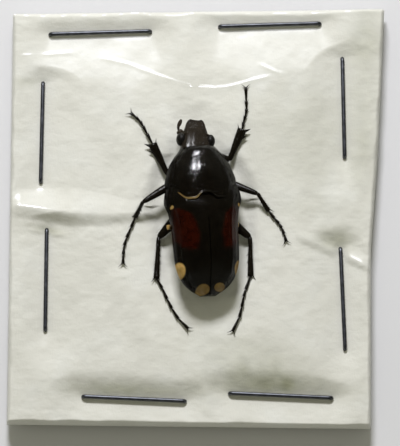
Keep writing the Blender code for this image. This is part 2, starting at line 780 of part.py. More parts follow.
def build_pronotum():
    upper, lower = [], []
    for j in range(PRONOTUM_ROWS):
        share = j / (PRONOTUM_ROWS - 1)
        half_width, height = profile(PRONOTUM_PROFILE, 1, share), profile(PRONOTUM_PROFILE, 2, share)
        top_row, bottom_row = [], []
        for k in range(PRONOTUM_COLUMNS):
            x, z = arch(half_width, height, PRONOTUM_SQUARENESS, math.pi * k / (PRONOTUM_COLUMNS - 1))
            rear = pronotum_rear(x * PRONOTUM_PROFILE[0][1] / half_width)
            y = rear + (PRONOTUM_FRONT - rear) * share
            top_row.append(from_beetle((x, y, z)))
            bottom_row.append(from_beetle((x, y, PLATE_BOTTOM)))
        upper.append(top_row)
        lower.append(bottom_row)
    return slab("pronotum", upper, lower, "black_chitin", flat_below=True)


def build_scutellum():
    upper, lower = [], []
    for j in range(SCUTELLUM_ROWS):
        share = j / (SCUTELLUM_ROWS - 1)
        y = SCUTELLUM_FRONT + (SCUTELLUM_APEX - SCUTELLUM_FRONT) * share
        half_width = SCUTELLUM_HALF_WIDTH + (SCUTELLUM_TIP_HALF_WIDTH - SCUTELLUM_HALF_WIDTH) * share
        top_row, bottom_row = [], []
        for k in range(SCUTELLUM_COLUMNS):
            x = half_width * (2 * k / (SCUTELLUM_COLUMNS - 1) - 1)
            width_here = profile(ELYTRA_PROFILE, 1, y)
            lift = (1 - abs(x / width_here) ** ELYTRA_SQUARENESS) ** (1 / ELYTRA_SQUARENESS)
            z = profile(ELYTRA_PROFILE, 2, y) * lift
            top_row.append(from_beetle((x, y, z)))
            bottom_row.append(from_beetle((x, y, z - SCUTELLUM_THICKNESS)))
        upper.append(top_row)
        lower.append(bottom_row)
    return slab("scutellum", upper, lower, "black_chitin")


def build_head():
    first, last = HEAD_PROFILE[0][0], HEAD_PROFILE[-1][0]
    upper, lower = [], []
    for j in range(HEAD_ROWS):
        y = first + (last - first) * j / (HEAD_ROWS - 1)
        half_width, crown, depth = (profile(HEAD_PROFILE, column, y) for column in (1, 2, 3))
        middle = crown - depth / 2
        rise = depth / 2 - HEAD_EDGE_HALF_HEIGHT
        top_row, bottom_row = [], []
        for k in range(HEAD_COLUMNS):
            x, z = arch(half_width, rise, HEAD_SQUARENESS, math.pi * k / (HEAD_COLUMNS - 1))
            top_row.append(from_beetle((x, y, middle + HEAD_EDGE_HALF_HEIGHT + z)))
            bottom_row.append(from_beetle((x, y, middle - HEAD_EDGE_HALF_HEIGHT - z)))
        upper.append(top_row)
        lower.append(bottom_row)
    return slab("head", upper, lower, "black_chitin")


def build_eye(name, side):
    bm = bmesh.new()
    x, y, z = EYE_CENTRE
    place = BEETLE_MATRIX @ Matrix.Translation((side * x, y, z)) @ Matrix.Diagonal((*EYE_RADII, 1.0))
    bmesh.ops.create_icosphere(bm, subdivisions=2, radius=1.0, matrix=place)
    return new_object(name, bm, "eye")


def build_sternite(name, rows_of_profile, row_count, finish):
    """A plate of the underside: flat above, keeled below, with a blunt side edge."""
    first, last = rows_of_profile[0][0], rows_of_profile[-1][0]
    upper, lower = [], []
    for j in range(row_count):
        y = first + (last - first) * j / (row_count - 1)
        half_width, depth = profile(rows_of_profile, 1, y), profile(rows_of_profile, 2, y)
        top_row, bottom_row = [], []
        for k in range(UNDERBODY_COLUMNS):
            angle = math.pi * k / (UNDERBODY_COLUMNS - 1)
            x, z = arch(half_width, depth - UNDERBODY_EDGE, UNDERBODY_SQUARENESS, angle)
            top_row.append(from_beetle((x, y, UNDERBODY_TOP)))
            bottom_row.append(from_beetle((x, y, UNDERBODY_TOP - UNDERBODY_EDGE - z)))
        upper.append(top_row)
        lower.append(bottom_row)
    return slab(name, lower, upper, finish, flat_below=True)


def build_antenna(name, route):
    points = [from_beetle(point) for point in route]
    return tube(name, points, ANTENNA_RADII, ANTENNA_RADII, TARSUS_SIDES, "brown_chitin")


# Legs

def limb_widths(widths, shares):
    """Width at each share of a limb, through its start, middle and end widths."""
    return [profile(((0.0, widths[0]), (0.5, widths[1]), (1.0, widths[2])), 1, share) for share in shares]


def build_limb(name, start, end, widths):
    """A straight femur or tibia with tapered ends."""
    full_widths = limb_widths(widths, LIMB_SHARES)
    half_widths = [width / 2 * fullness for width, fullness in zip(full_widths, LIMB_FULLNESS)]
    half_heights = [max(LIMB_LEAST_HALF_HEIGHT, half * LIMB_FLATNESS) for half in half_widths]
    route = [start.lerp(end, share) for share in LIMB_SHARES]
    return tube(name, route, half_widths, half_heights, LEG_SIDES, "black_chitin")


def tibia_spikes(knee, ankle, leg, front):
    """Teeth down the outer side of a tibia and spurs at its end."""
    along = (ankle - knee).normalized()
    outward = Vector((-along.y, along.x, 0.0)).normalized() * leg["outer_side"]
    half_width = leg["tibia_widths"][2] / 2
    spikes = []
    for share in FRONT_TEETH_SHARES if front else OTHER_TEETH_SHARES:
        base = knee.lerp(ankle, share) + outward * (half_width - TOOTH_SINK)
        spikes.append(spike(base, outward + along * TOOTH_LEAN, TOOTH_LENGTH, TOOTH_RADIUS))
    for side in (-1,) if front else (-1, 1):
        base = ankle + outward * side * (half_width - SPUR_SINK) - along * SPUR_SINK
        spikes.append(spike(base, along + outward * side * SPUR_LEAN, SPUR_LENGTH, SPUR_RADIUS))
    return spikes


def build_tarsus(name, ankle, toes):
    """Five joints that swell towards their tips, with two claws."""
    corners = [ankle] + [limb_point(x, y, TARSUS_RADIUS * TARSUS_SWELL[1]) for x, y in toes]
    lengths = [0.0]
    for start, end in zip(corners, corners[1:]):
        lengths.append(lengths[-1] + (end - start).length)
    route = []
    for joint in range(TARSUS_JOINTS):
        for part in TARSUS_JOINT_PARTS:
            length = (joint + part) / TARSUS_JOINTS * lengths[-1]
            rows = [(at, *corner) for at, corner in zip(lengths, corners)]
            route.append(Vector([profile(rows, axis, length) for axis in (1, 2, 3)]))
    radii = [TARSUS_RADIUS * swell for swell in TARSUS_SWELL] * TARSUS_JOINTS
    tarsus = tube(name, route, radii, radii, TARSUS_SIDES, "black_chitin")
    heading = route[-1] - route[-2]
    heading.z = 0.0
    heading.normalize()
    sideways = Vector((-heading.y, heading.x, 0.0))
    claws = []
    for side in (-1, 1):
        direction = Matrix.Rotation(side * CLAW_SPREAD, 3, "Z") @ heading
        base = route[-1] + (sideways * side * CLAW_ROOT_SPREAD - heading) * CLAW_RADIUS
        claws.append(spike(base, direction, CLAW_LENGTH, CLAW_RADIUS))
    return tarsus, claws


def build_leg(name, leg, body):
    front = name.startswith("front")
    hip = from_beetle(leg["hip"])
    knee = limb_point(*leg["knee"], leg["femur_widths"][2] / 2 * LIMB_FLATNESS, leg["knee_lift"])
    ankle = limb_point(*leg["ankle"], leg["tibia_widths"][2] / 2 * LIMB_FLATNESS)
    femur = build_limb("femur_" + name, hip, knee, leg["femur_widths"])
    tibia = build_limb("tibia_" + name, knee, ankle, leg["tibia_widths"])
    spikes = tibia_spikes(knee, ankle, leg, front)
    tarsus, claws = build_tarsus("tarsus_" + name, ankle, leg["toes"])
    carve_clear(tarsus, [tibia, *spikes])
    combine(tarsus, claws, "UNION")
    carve_clear(tibia, [femur])
    combine(tibia, spikes, "UNION")
    carve_clear(femur, body)


def build_beetle():
    """The whole insect. Outer pieces are cut clear of whole inner ones, tips first."""
    pronotum = build_pronotum()
    prosternum = build_sternite("prosternum", PROSTERNUM_PROFILE, PROSTERNUM_ROWS, "black_chitin")
    thorax = build_sternite("thorax", THORAX_PROFILE, THORAX_ROWS, "black_chitin")
    build_sternite("abdomen", ABDOMEN_PROFILE, ABDOMEN_ROWS, "brown_chitin")
    elytra = [build_elytron("elytron_left", -1), build_elytron("elytron_right", 1)]
    for name, leg in LEGS.items():
        build_leg(name, leg, [pronotum, prosternum, thorax, *elytra])
    scutellum = build_scutellum()
    for elytron in elytra:
        carve_clear(elytron, [pronotum, scutellum])
    carve_clear(scutellum, [pronotum])
    head = build_head()
    carve_clear(build_antenna("antenna_left", ANTENNA_LEFT_ROUTE), [head])
    carve_clear(build_antenna("antenna_right", ANTENNA_RIGHT_ROUTE), [head])
    carve_clear(head, [build_eye("eye_left", -1), build_eye("eye_right", 1)])


def main():
    clear_scene()
    build_mount()
    build_beetle()


main()
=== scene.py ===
"""Looks of the dried flower beetle, Pygora ornata, in its stapled specimen packet.

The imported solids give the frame: the card stays and every other node is replaced by a
finer piece in the same place. Sizes are in millimetres up to the moment a mesh is made.
"""

import math

import bpy
import numpy as np
from mathutils import Matrix, Vector


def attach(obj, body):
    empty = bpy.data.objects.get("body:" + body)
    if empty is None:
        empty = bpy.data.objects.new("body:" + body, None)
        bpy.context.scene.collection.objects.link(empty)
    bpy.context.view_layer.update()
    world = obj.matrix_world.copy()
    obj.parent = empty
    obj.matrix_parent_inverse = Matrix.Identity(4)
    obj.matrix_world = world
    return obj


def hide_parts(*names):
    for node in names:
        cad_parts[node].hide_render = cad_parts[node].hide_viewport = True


METRES_PER_MM = 0.001
UP = np.array((0.0, 0.0, 1.0))

# Packet outline: each edge is given by a few (along, across) places
LEFT_EDGE = ((-26.75, -23.75), (26.75, -23.45))
RIGHT_EDGE = ((-26.75, 21.6), (-4.3, 21.8), (8.4, 22.8), (26.75, 23.75))
FRONT_EDGE = ((-23.75, -26.2), (21.6, -26.75))
BACK_EDGE = ((-23.45, 26.1), (23.75, 26.75))
PACKET_WIDTH = 47.2
PACKET_LENGTH = 53.5

# Levels of the layers above the floor, and the shape of the cotton
CARD_TOP = 1.4
PAD_TOP = 4.0
PAD_TOP_AT_RIM = 3.6
PAD_TOP_UNDER_STAPLE = 3.05
PAD_HOLLOW_DEPTH = 0.9
PAD_HOLLOW_FADE = (0.6, 3.0)
PAD_HOLLOW_FRONT = (6.0, 10.0)
PAD_HOLLOW_REAR = (7.0, 11.5)
PAD_RIM_BASE = 1.7
PAD_INSET = 0.12
PAD_IN_FOLDS = 0.85
RIM_SOFTNESS = 7.0

# How both layers rise from a staple, for each mm to its sides, behind it and before it
PINCH_SLOPES = (0.22, 0.36, 0.165)
PINCH_FLAT = 0.04
PINCH_SOFTNESS = 0.2
CROWN_FADE = (0.3, 1.2)

# The film: its level where it lies on the cotton, and how it leans on back and legs
FILM_BOTTOM = 0.9
FILM_THICKNESS = 0.06
FILM_LEVEL = 4.35
FILM_LEVEL_AT_RIM = 3.85
FILM_UNDER_STAPLE = 3.24
FILM_LEAST_GAP = 0.08
FILM_OVER_BACK = 0.5
FILM_OVER_LEGS = 0.04
FILM_SLOPE_FROM_BACK = 0.7
FILM_SLOPE_FROM_LEGS = 0.12
LEANING_REACH = 8.0
FILM_CREASE_ANGLE = 20.0

# Roundings of the left, right, front and back rims
RIM_ROUNDINGS = (0.55, 0.55, 0.45, 0.8)
RIM_WOBBLE = 0.35

# Grid lines of the soft layers
RIM_BAND = 2.0
RIM_SPACING = 0.12
COTTON_SPACING = 0.25
FILM_SPACING = 0.17
FOLD_SPACING = 0.12
FOLD_BANDS = ((-7.6, 3.8), (15.0, 21.8))

# Folds of the film, each with its gloss on the facet and at the crest, and from left
# to right its (x, y, north width, north slope, south width)
FOLDS = (
    (0.16, 0.95, (-23.6, 1.2, 2.0, 0.28, 1.6), (-19.9, 0.82, 2.6, 0.3, 1.7),
     (-15.8, 0.06, 3.4, 0.31, 1.8), (-10.7, 0.06, 2.4, 0.33, 1.8), (-7.4, 0.2, 1.5, 0.34, 1.4),
     (-5.4, 0.1, 0.6, 0.34, 0.8)),
    (0.0, 0.0, (-21.5, -1.7, 1.2, 0.1, 0.5), (-18.7, -2.3, 1.6, 0.12, 0.5), (-15.6, -2.6, 1.0, 0.1, 0.6)),
    (0.09, 0.9, (11.9, -2.5, 0.8, 0.24, 0.8), (15.7, -4.1, 1.2, 0.28, 1.0), (18.6, -5.2, 1.5, 0.3, 1.0),
     (21.7, -6.9, 1.2, 0.3, 0.8)),
    (0.0, 0.0, (18.1, -4.4, 0.5, 0.15, 0.6), (21.7, -3.3, 0.7, 0.15, 0.8)),
)
CREST_WIDTH = 0.3
FOLD_FADE = 1.2
GLOSS_OF_FILM = 0.4
GLOSS_OF_STREAKS = 0.35
GLOSS_ON_BEETLE = 0.04
FILM_ON_BEETLE = 0.2
TAUT_FILM = (7.0, 9.0)

# Bright streaks: low ridges of the film whose north sides just mirror the light, each
# with its width and its places from left to right
MIRROR_TILT = 16.5
MIRROR_TILT_PER_MM = -0.11
RIDGE_SLOPES = (0.02, 0.4)
STREAKS = (
    (0.24, (-11.9, 19.97), (-8.8, 19.2), (-6.3, 18.2), (-4.4, 17.45), (-2.6, 16.8), (-1.0, 16.35),
     (0.6, 16.05), (2.2, 15.97), (3.6, 16.1), (5.2, 16.5), (7.1, 17.05), (9.1, 17.55)),
    (0.24, (7.9, 19.1), (9.4, 18.3), (10.8, 17.7)),
    (0.2, (-4.3, 21.4), (-1.8, 20.7)),
    (0.2, (-0.9, 20.2), (2.4, 19.3)),
    (0.22, (-23.0, 20.2), (-20.6, 20.35), (-15.9, 20.7)),
    (0.8, (-20.4, -17.2), (-19.7, -17.0)),
    (0.6, (16.8, -19.4), (17.7, -19.3)),
)

# Painted shade on the cotton: olive-grey patches where it lies in shade, each with its centre, radii, turn,
# share
PAINTED_SHADE_PLACES = (
    ((9.1, -21.5), (7.5, 1.5), -3.0, 0.75),
    ((8.1, -19.6), (6.0, 2.0), -8.0, 0.4),
    ((-8.7, -22.0), (7.5, 1.1), -2.0, 0.65),
    ((17.2, -3.1), (2.2, 1.4), 0.0, 0.6),
    ((-18.7, -1.9), (2.6, 0.6), -12.0, 0.5),
    ((21.3, 22.5), (2.5, 4.5), 0.0, 0.35),
    ((20.6, 10.6), (2.0, 8.0), 0.0, 0.22),
    ((-21.2, 17.0), (2.0, 0.7), 0.0, 0.3),
    ((12.8, 1.1), (5.0, 1.5), 0.0, 0.12),
    ((13.5, 9.5), (8.0, 9.0), 0.0, 0.2),
    ((5.5, -16.8), (9.0, 2.2), -4.0, 0.2),
)

# Staples
WIRE_RADIUS = 0.25
WIRE_BEND = 0.42
WIRE_SIDES = 20
CROWN_HEIGHT = 3.55
CROWN_LENGTH = 12.6
PRONG_LENGTH = 3.2
STAPLES = {
    "staple_back_left": ((-18.7, 23.1), (-5.8, 23.5)),
    "staple_back_right": ((2.6, 24.1), (15.6, 24.5)),
    "staple_left_back": ((-19.4, 17.1), (-19.6, 4.0)),
    "staple_left_front": ((-18.8, -1.6), (-18.9, -14.7)),
    "staple_right_back": ((18.2, 20.2), (18.4, 7.2)),
    "staple_right_front": ((17.8, -4.0), (18.3, -17.1)),
    "staple_front_left": ((-14.4, -22.8), (-1.3, -23.4)),
    "staple_front_right": ((3.8, -22.4), (16.8, -23.0)),
}

# The beetle's own frame: x to its right, y to its head, z up
BEETLE_PLACE = (0.45, 1.5, 6.2)
BEETLE_YAW = math.radians(4.1)
BEETLE_ROLL = math.radians(10.0)
PLATE_BOTTOM = -0.4
UNDERBODY_TOP = -0.5

# Elytra: (y, half width, height)
ELYTRA_PROFILE = (
    (1.3, 4.45, 3.42),
    (-0.5, 4.75, 3.74),
    (-1.8, 4.3, 3.96),
    (-4.0, 4.08, 4.1),
    (-7.0, 3.98, 3.9),
    (-8.5, 3.86, 3.5),
    (-10.0, 3.36, 2.75),
    (-11.2, 2.45, 1.9),
    (-12.2, 0.95, 0.9),
)
ELYTRA_WIDENING = {-1: 1.0, 1: 1.045}
ELYTRA_SQUARENESS = 2.5
ELYTRA_FRONT = 1.2
ELYTRA_ROWS = 170
ELYTRA_COLUMNS = 90
SUTURE_GAP = 0.05
STRIA_COUNT = 8
STRIA_DEPTH = 0.03

# Where the gloss of the shells ends, as shares of their half width
DULL_FLANKS = (0.72, 0.92)

# Edges of the red patch: the inner one as (y, x), the front and rear ones as (x, y)
RED_INNER_EDGE = ((-6.8, 1.5), (-5.2, 1.25), (-2.8, 1.75), (-1.0, 2.4))
RED_FURTHER_OUT = {-1: 0.0, 1: 0.35}
RED_FRONT_EDGE = ((0.8, -3.4), (1.7, -2.75), (3.0, -1.75), (3.9, -1.45))
RED_REAR_EDGE = ((1.0, -6.9), (2.4, -6.75), (3.3, -6.4), (4.0, -5.4))
APICAL_SPOT = {-1: ((0.87, -11.6), (0.8, 0.6)), 1: ((1.17, -11.4), (0.66, 0.47))}

# Pronotum: (share of the way forward, half width, height)
PRONOTUM_PROFILE = (
    (0.0, 4.3, 4.0),
    (0.2, 4.45, 3.88),
    (0.45, 4.05, 3.7),
    (0.6, 3.75, 3.46),
    (0.8, 3.05, 3.02),
    (0.93, 2.45, 2.72),
    (1.0, 2.2, 2.25),
)
PRONOTUM_SQUARENESS = 2.3
PRONOTUM_FRONT = 6.35
PRONOTUM_LOBE_Y = -0.6
PRONOTUM_LOBE_HALF_WIDTH = 2.2
PRONOTUM_HIND_ANGLE_Y = 1.0
PRONOTUM_NOTCH_DEPTH = 0.7
PRONOTUM_NOTCH_INNER = 0.4
PRONOTUM_NOTCH_OUTER = 1.4
PRONOTUM_ROWS = 80
PRONOTUM_COLUMNS = 150

SCUTELLUM_FRONT = 0.6
SCUTELLUM_APEX = -2.95
SCUTELLUM_HALF_WIDTH = 1.35

# Head: (y, half width, height of the top, depth below the top)
HEAD_PROFILE = (
    (5.9, 1.9, 1.6, 2.7),
    (6.75, 1.85, 1.4, 2.6),
    (7.4, 1.7, 1.2, 2.5),
    (8.0, 1.62, 0.98, 2.3),
    (8.6, 1.48, 0.72, 2.0),
    (9.1, 1.31, 0.5, 1.6),
    (9.6, 1.17, 0.28, 1.15),
    (9.95, 0.98, 0.14, 0.85),
    (10.12, 0.78, 0.08, 0.7),
)
HEAD_SQUARENESS = 3.6
HEAD_TURN = math.radians(-6.0)
HEAD_PIVOT = (-0.3, 6.6, 0.0)
EYE_CENTRE = (1.82, 7.4, 0.32)
EYE_RADII = (0.62, 0.85, 0.78)

# Underside: (y, half width, depth)
PROSTERNUM_PROFILE = ((3.2, 2.9, 1.4), (4.8, 2.5, 1.6), (6.3, 1.8, 1.1))
THORAX_PROFILE = ((3.4, 2.7, 1.5), (1.8, 3.3, 2.0), (-1.0, 3.7, 2.2), (-4.7, 3.8, 2.1))
ABDOMEN_PROFILE = (
    (-4.6, 3.8, 2.05),
    (-7.5, 3.75, 1.95),
    (-9.6, 3.3, 1.9),
    (-11.0, 2.3, 1.75),
    (-11.9, 0.9, 1.2),
)
UNDERBODY_SQUARENESS = 2.2
UNDERBODY_EDGE = 0.45
SIDE_DOT_EDGE = (4.12, 4.3)

# Legs: hip in the beetle's frame, the rest (x, y) places in the packet
LEG_FLATNESS = 0.75
LEGS = {
    "front_left": {
        "hip": (-1.5, 5.2, -1.45), "knee": (-3.75, 5.1), "ankle": (-5.65, 8.85),
        "toes": ((-6.3, 10.15), (-6.8, 11.1), (-7.15, 11.7), (-7.7, 12.25), (-8.3, 12.75)),
        "femur_widths": (1.2, 1.3, 0.9), "tibia_widths": (0.62, 0.95, 1.1),
        "knee_lift": 0.3,
    },
    "front_right": {
        "hip": (1.4, 5.7, -1.45), "knee": (4.0, 6.85), "ankle": (5.6, 10.7),
        "toes": ((5.75, 11.6), (5.98, 12.4), (6.15, 13.3), (6.1, 14.3), (6.05, 16.0)),
        "femur_widths": (1.2, 1.3, 0.9), "tibia_widths": (0.62, 0.95, 1.15),
        "knee_lift": 0.6,
    },
    "mid_left": {
        "hip": (-2.2, 2.9, -1.45), "knee": (-6.8, 1.15), "ankle": (-7.75, -0.45),
        "toes": ((-8.25, -1.7), (-8.8, -3.0), (-9.1, -4.0), (-9.22, -5.1), (-9.25, -6.2)),
        "femur_widths": (0.9, 0.95, 0.7), "tibia_widths": (0.5, 0.5, 0.6),
        "knee_lift": 1.6,
    },
    "mid_right": {
        "hip": (2.2, 2.9, -1.45), "knee": (7.5, 2.35), "ankle": (8.85, 0.35),
        "toes": ((9.55, -0.55), (10.1, -1.2), (10.45, -1.75), (10.75, -2.5), (11.0, -3.4)),
        "femur_widths": (0.9, 0.95, 0.7), "tibia_widths": (0.5, 0.5, 0.6),
        "knee_lift": 0.9,
    },
    "hind_left": {
        "hip": (-2.0, -1.1, -1.5), "knee": (-4.85, -3.0), "ankle": (-5.1, -8.2),
        "toes": ((-4.4, -9.35), (-3.8, -10.7), (-3.2, -11.9), (-2.4, -13.2), (-1.2, -14.4)),
        "femur_widths": (1.2, 1.25, 0.9), "tibia_widths": (0.55, 0.6, 0.75),
        "knee_lift": 0.2,
    },
    "hind_right": {
        "hip": (2.0, -1.1, -1.5), "knee": (6.55, -3.0), "ankle": (6.6, -7.85),
        "toes": ((6.0, -9.5), (5.75, -10.4), (5.5, -11.7), (5.2, -13.0), (4.4, -14.7)),
        "femur_widths": (1.2, 1.25, 0.9), "tibia_widths": (0.55, 0.62, 0.75),
        "knee_lift": 0.2,
    },
}
LIMB_OVER_PAD = 0.12
TARSUS_RADIUS = 0.2
CLAW_LENGTH = 0.75

# Fullness of each limb at shares of its length
FEMUR_SHAPE = (
    (0.0, 0.45), (0.03, 0.7), (0.1, 0.9), (0.2, 1.0), (0.35, 1.05), (0.5, 1.05), (0.65, 1.0),
    (0.8, 0.95), (0.9, 0.9), (0.97, 0.75), (1.0, 0.4),
)
FEMUR_BASE_SHAPE = ((0.0, 0.4), (0.15, 0.9), (0.5, 1.0), (0.85, 0.9), (1.0, 0.5))
FEMUR_BASE_WIDTHS = (0.9, 1.0, 0.8)
TIBIA_SHAPE = (
    (0.0, 0.5), (0.04, 0.9), (0.12, 1.0), (0.25, 0.85), (0.4, 0.9), (0.55, 0.95), (0.7, 1.0),
    (0.85, 1.0), (0.93, 1.05), (0.98, 1.0), (1.0, 0.6),
)
TARSUS_SHAPE = ((0.0, 0.4), (0.08, 0.6), (0.3, 0.68), (0.6, 0.85), (0.85, 1.05), (0.97, 0.95), (1.03, 0.5))

# Camera and light
IMAGE_HEIGHT_PX = 446
PX_PER_MM = 8.0
CAMERA_ELEVATION = math.radians(80.0)
CAMERA_DISTANCE = 450.0
CAMERA_TARGET = (0.31, -0.86, 2.5)
KEY_ELEVATION = math.radians(47.0)
KEY_AZIMUTH = math.radians(-5.0)
KEY_DISTANCE = 450.0
KEY_SIZE = (115.0, 80.0)
KEY_RADIANCE = 78.0
KEY_COLOUR = (0.98, 0.98, 1.05)
FILL_STRENGTH = 0.85
FILL_ANGLE = 150.0
FILL_COLOUR = (1.0, 0.99, 0.8)
ROOM_COLOUR = (1.0, 1.0, 0.85)
ROOM_RADIANCE = ((0.0, 0.14), (0.35, 0.25), (0.55, 0.22), (0.75, 0.06), (0.92, 0.008), (1.0, 0.006))
ROOM_SIDE_SHARE = 0.12
FLOOR_COLOUR = (0.62, 0.62, 0.62)


# Numbers

def smoothstep(value, low, high):
    share = np.clip((value - low) / (high - low), 0.0, 1.0)
    return share * share * (3.0 - 2.0 * share)


def profile(rows, column, places):
    """Values in one column of a profile, on a smooth curve through its rows."""
    rows = sorted(rows)
    at = np.array([row[0] for row in rows], float)
    values = np.array([row[column] for row in rows], float)
    rise = np.append(values[1:], values[-1]) - np.append(values[0], values[:-1])
    run = np.append(at[1:], at[-1]) - np.append(at[0], at[:-1])
    slopes = rise / run
    places = np.clip(places, at[0], at[-1])
    index = np.clip(np.searchsorted(at, places) - 1, 0, len(at) - 2)
    width = at[index + 1] - at[index]
    t = (places - at[index]) / width
    return (
        values[index] * (1 + 2 * t) * (1 - t) ** 2
        + values[index + 1] * t * t * (3 - 2 * t)
        + slopes[index] * width * t * (1 - t) ** 2
        - slopes[index + 1] * width * t * t * (1 - t)
    )


def soft_noise(x, y, size, seed):
    """A smooth random field from -1 to 1 with features of a given size."""
    lattice = np.random.default_rng(seed).uniform(-1.0, 1.0, (128, 128))
    u, v = x / size + 64.0, y / size + 64.0
    i, j = np.floor(u).astype(int), np.floor(v).astype(int)
    s, t = smoothstep(u - i, 0.0, 1.0), smoothstep(v - j, 0.0, 1.0)
    i, j = i % 128, j % 128
    i_next, j_next = (i + 1) % 128, (j + 1) % 128
    low = lattice[j, i] * (1 - s) + lattice[j, i_next] * s
    high = lattice[j_next, i] * (1 - s) + lattice[j_next, i_next] * s
    return low * (1 - t) + high * t


def spot_reach(x, y, centre, radii, turn):
    """Distance from the centre of an oval, turned by an angle in degrees: 1 on its edge."""
    cosine, sine = math.cos(math.radians(turn)), math.sin(math.radians(turn))
    dx, dy = x - centre[0], y - centre[1]
    return np.hypot((dx * cosine + dy * sine) / radii[0], (dy * cosine - dx * sine) / radii[1])


def spot(x, y, centre, radii, turn=0.0, soft=0.12):
    """How much of an oval spot covers a place: 0 to 1."""
    return 1.0 - smoothstep(spot_reach(x, y, centre, radii, turn), 1.0 - soft, 1.0 + soft)


def unit(vectors):
    """A vector, or each row of an array of them, brought to a length of 1."""
    vectors = np.asarray(vectors, float)
    return vectors / np.maximum(np.linalg.norm(vectors, axis=-1, keepdims=True), 1e-9)


def arch(half_width, height, squareness, angle):
    """Points of a squarish arch at angles from its right foot."""
    power = 2 / squareness
    cosine, sine = np.cos(angle), np.sin(angle)
    x = half_width * np.sign(cosine) * np.abs(cosine) ** power
    return x, height * np.abs(sine) ** power


BEETLE_MATRIX = (
    Matrix.Translation(BEETLE_PLACE)
    @ Matrix.Rotation(BEETLE_YAW, 4, "Z")
    @ Matrix.Rotation(BEETLE_ROLL, 4, "Y")
)


def from_beetle(points):
    """Points of the beetle's frame, in an array of any shape, in the packet's frame."""
    matrix = np.array(BEETLE_MATRIX)
    return np.asarray(points, float) @ matrix[:3, :3].T + matrix[:3, 3]


def from_head(points):
    """Points of the head, before its slight turn, in the packet's frame."""
    turn = np.array(Matrix.Rotation(HEAD_TURN, 3, "Z"))
    behind = np.array((0.0, HEAD_PIVOT[1], 0.0))
    return from_beetle((np.asarray(points, float) - behind) @ turn.T + HEAD_PIVOT)


# Meshes

class Soup:
    """Closed shells gathered into one mesh."""

    def __init__(self):
        self.points = []
        self.faces = []
        self.count = 0

    def add(self, points, faces):
        points = np.asarray(points, float).reshape(-1, 3)
        self.points.append(points)
        self.faces += [tuple(index + self.count for index in face) for face in faces]
        self.count += len(points)

    def loft(self, rings):
        """Rings of points joined in order, closed at both ends."""
        count, sides = rings.shape[:2]
        index = np.arange(count * sides).reshape(count, sides)
        after = np.roll(index, -1, axis=1)
        walls = np.stack([index[:-1], after[:-1], after[1:], index[1:]], axis=-1).reshape(-1, 4)
        self.add(rings, [*walls.tolist(), index[0, ::-1].tolist(), index[-1].tolist()])

    def tube(self, route, half_widths, half_heights, sides, up=UP):
        """A limb of oval section along a route."""
        route = np.asarray(route, float)
        tangents = unit(np.gradient(route, axis=0))
        across = unit(np.cross(tangents, up))
        rise = np.cross(across, tangents)
        angles = math.tau * (np.arange(sides) + 0.5) / sides
        wide = np.broadcast_to(half_widths, len(route))[:, None, None] * np.cos(angles)[None, :, None]
        high = np.broadcast_to(half_heights, len(route))[:, None, None] * np.sin(angles)[None, :, None]
        self.loft(route[:, None, :] + across[:, None, :] * wide + rise[:, None, :] * high)

    def spine(self, base, direction, length, radius, bend=(0.0, 0.0, 0.0), sides=5, steps=4):
        """A tapered spine, hair or claw that bends towards its tip."""
        shares = np.linspace(0.0, 1.0, steps)
        direction = unit(direction)
        route = base + np.outer(shares * length, direction)
        route += np.outer(shares ** 2 * length, bend)
        radii = radius * (1.0 - 0.93 * shares)
        up = UP if abs(direction[2]) < 0.9 else (0.0, 1.0, 0.0)
        self.tube(route, radii, radii, sides, up)


def grid_faces(rows, columns, start=0):
    index = np.arange(rows * columns).reshape(rows, columns) + start
    corners = (index[:-1, :-1], index[:-1, 1:], index[1:, 1:], index[1:, :-1])
    return np.stack([corner.ravel() for corner in corners], axis=1)


def around(rows, columns):
    """Indices round the edge of a grid, in order."""
    index = np.arange(rows * columns).reshape(rows, columns)
    return np.concatenate([index[0], index[1:-1, -1], index[-1, ::-1], index[-2:0:-1, 0]])


def new_piece(name, points, faces, finish, nodes, sharp=60.0):
    """A mesh in metres that rides on the packet and stands for some of its solids."""
    mesh = bpy.data.meshes.new(name)
    mesh.from_pydata((np.asarray(points) * METRES_PER_MM).tolist(), [], [tuple(face) for face in faces])
    mesh.validate()
    mesh.update()
    mesh.shade_smooth()
    mesh.set_sharp_from_angle(angle=math.radians(sharp))
    mesh.materials.append(finish)
    obj = bpy.data.objects.new(name, mesh)
    bpy.context.scene.collection.objects.link(obj)
    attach(obj, "root")
    if nodes:
        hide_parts(*nodes)
    return obj


def soup_piece(name, soup, finish, nodes, sharp=60.0):
    return new_piece(name, np.concatenate(soup.points), soup.faces, finish, nodes, sharp)


def slab(upper, lower):
    """Points and faces of a closed body between two grids of the same size."""
    rows, columns = upper.shape[:2]
    count = rows * columns
    points = np.concatenate([upper.reshape(-1, 3), lower.reshape(-1, 3)])
    top = grid_faces(rows, columns)
    bottom = grid_faces(rows, columns, count)[:, ::-1]
    rim = around(rows, columns)
    after = np.roll(rim, -1)
    wall = np.stack([after, rim, rim + count, after + count], axis=1)
    return points, np.concatenate([top, bottom, wall]).tolist()


def paint(obj, name, values):
    """Store numbers for the first points of a mesh, and 0 for the rest, for its material."""
    layer = obj.data.attributes.new(name, "FLOAT", "POINT")
    stored = np.zeros(len(layer.data), np.float32)
    stored[:np.size(values)] = np.ravel(values)
    layer.data.foreach_set("value", stored)


# Materials

def node(tree, kind, settings=None, **inputs):
    """A shader node with its settings, and its inputs set or linked, each by name or as i0, i1."""
    made = tree.nodes.new("ShaderNode" + kind)
    for key, value in (settings or {}).items():
        setattr(made, key, value)
    for key, value in inputs.items():
        numbered = key[0] == "i" and key[1:].isdigit()
        socket = made.inputs[int(key[1:]) if numbered else key.replace("_", " ")]
        if isinstance(value, bpy.types.NodeSocket):
            tree.links.new(value, socket)
        else:
            socket.default_value = value
    return made


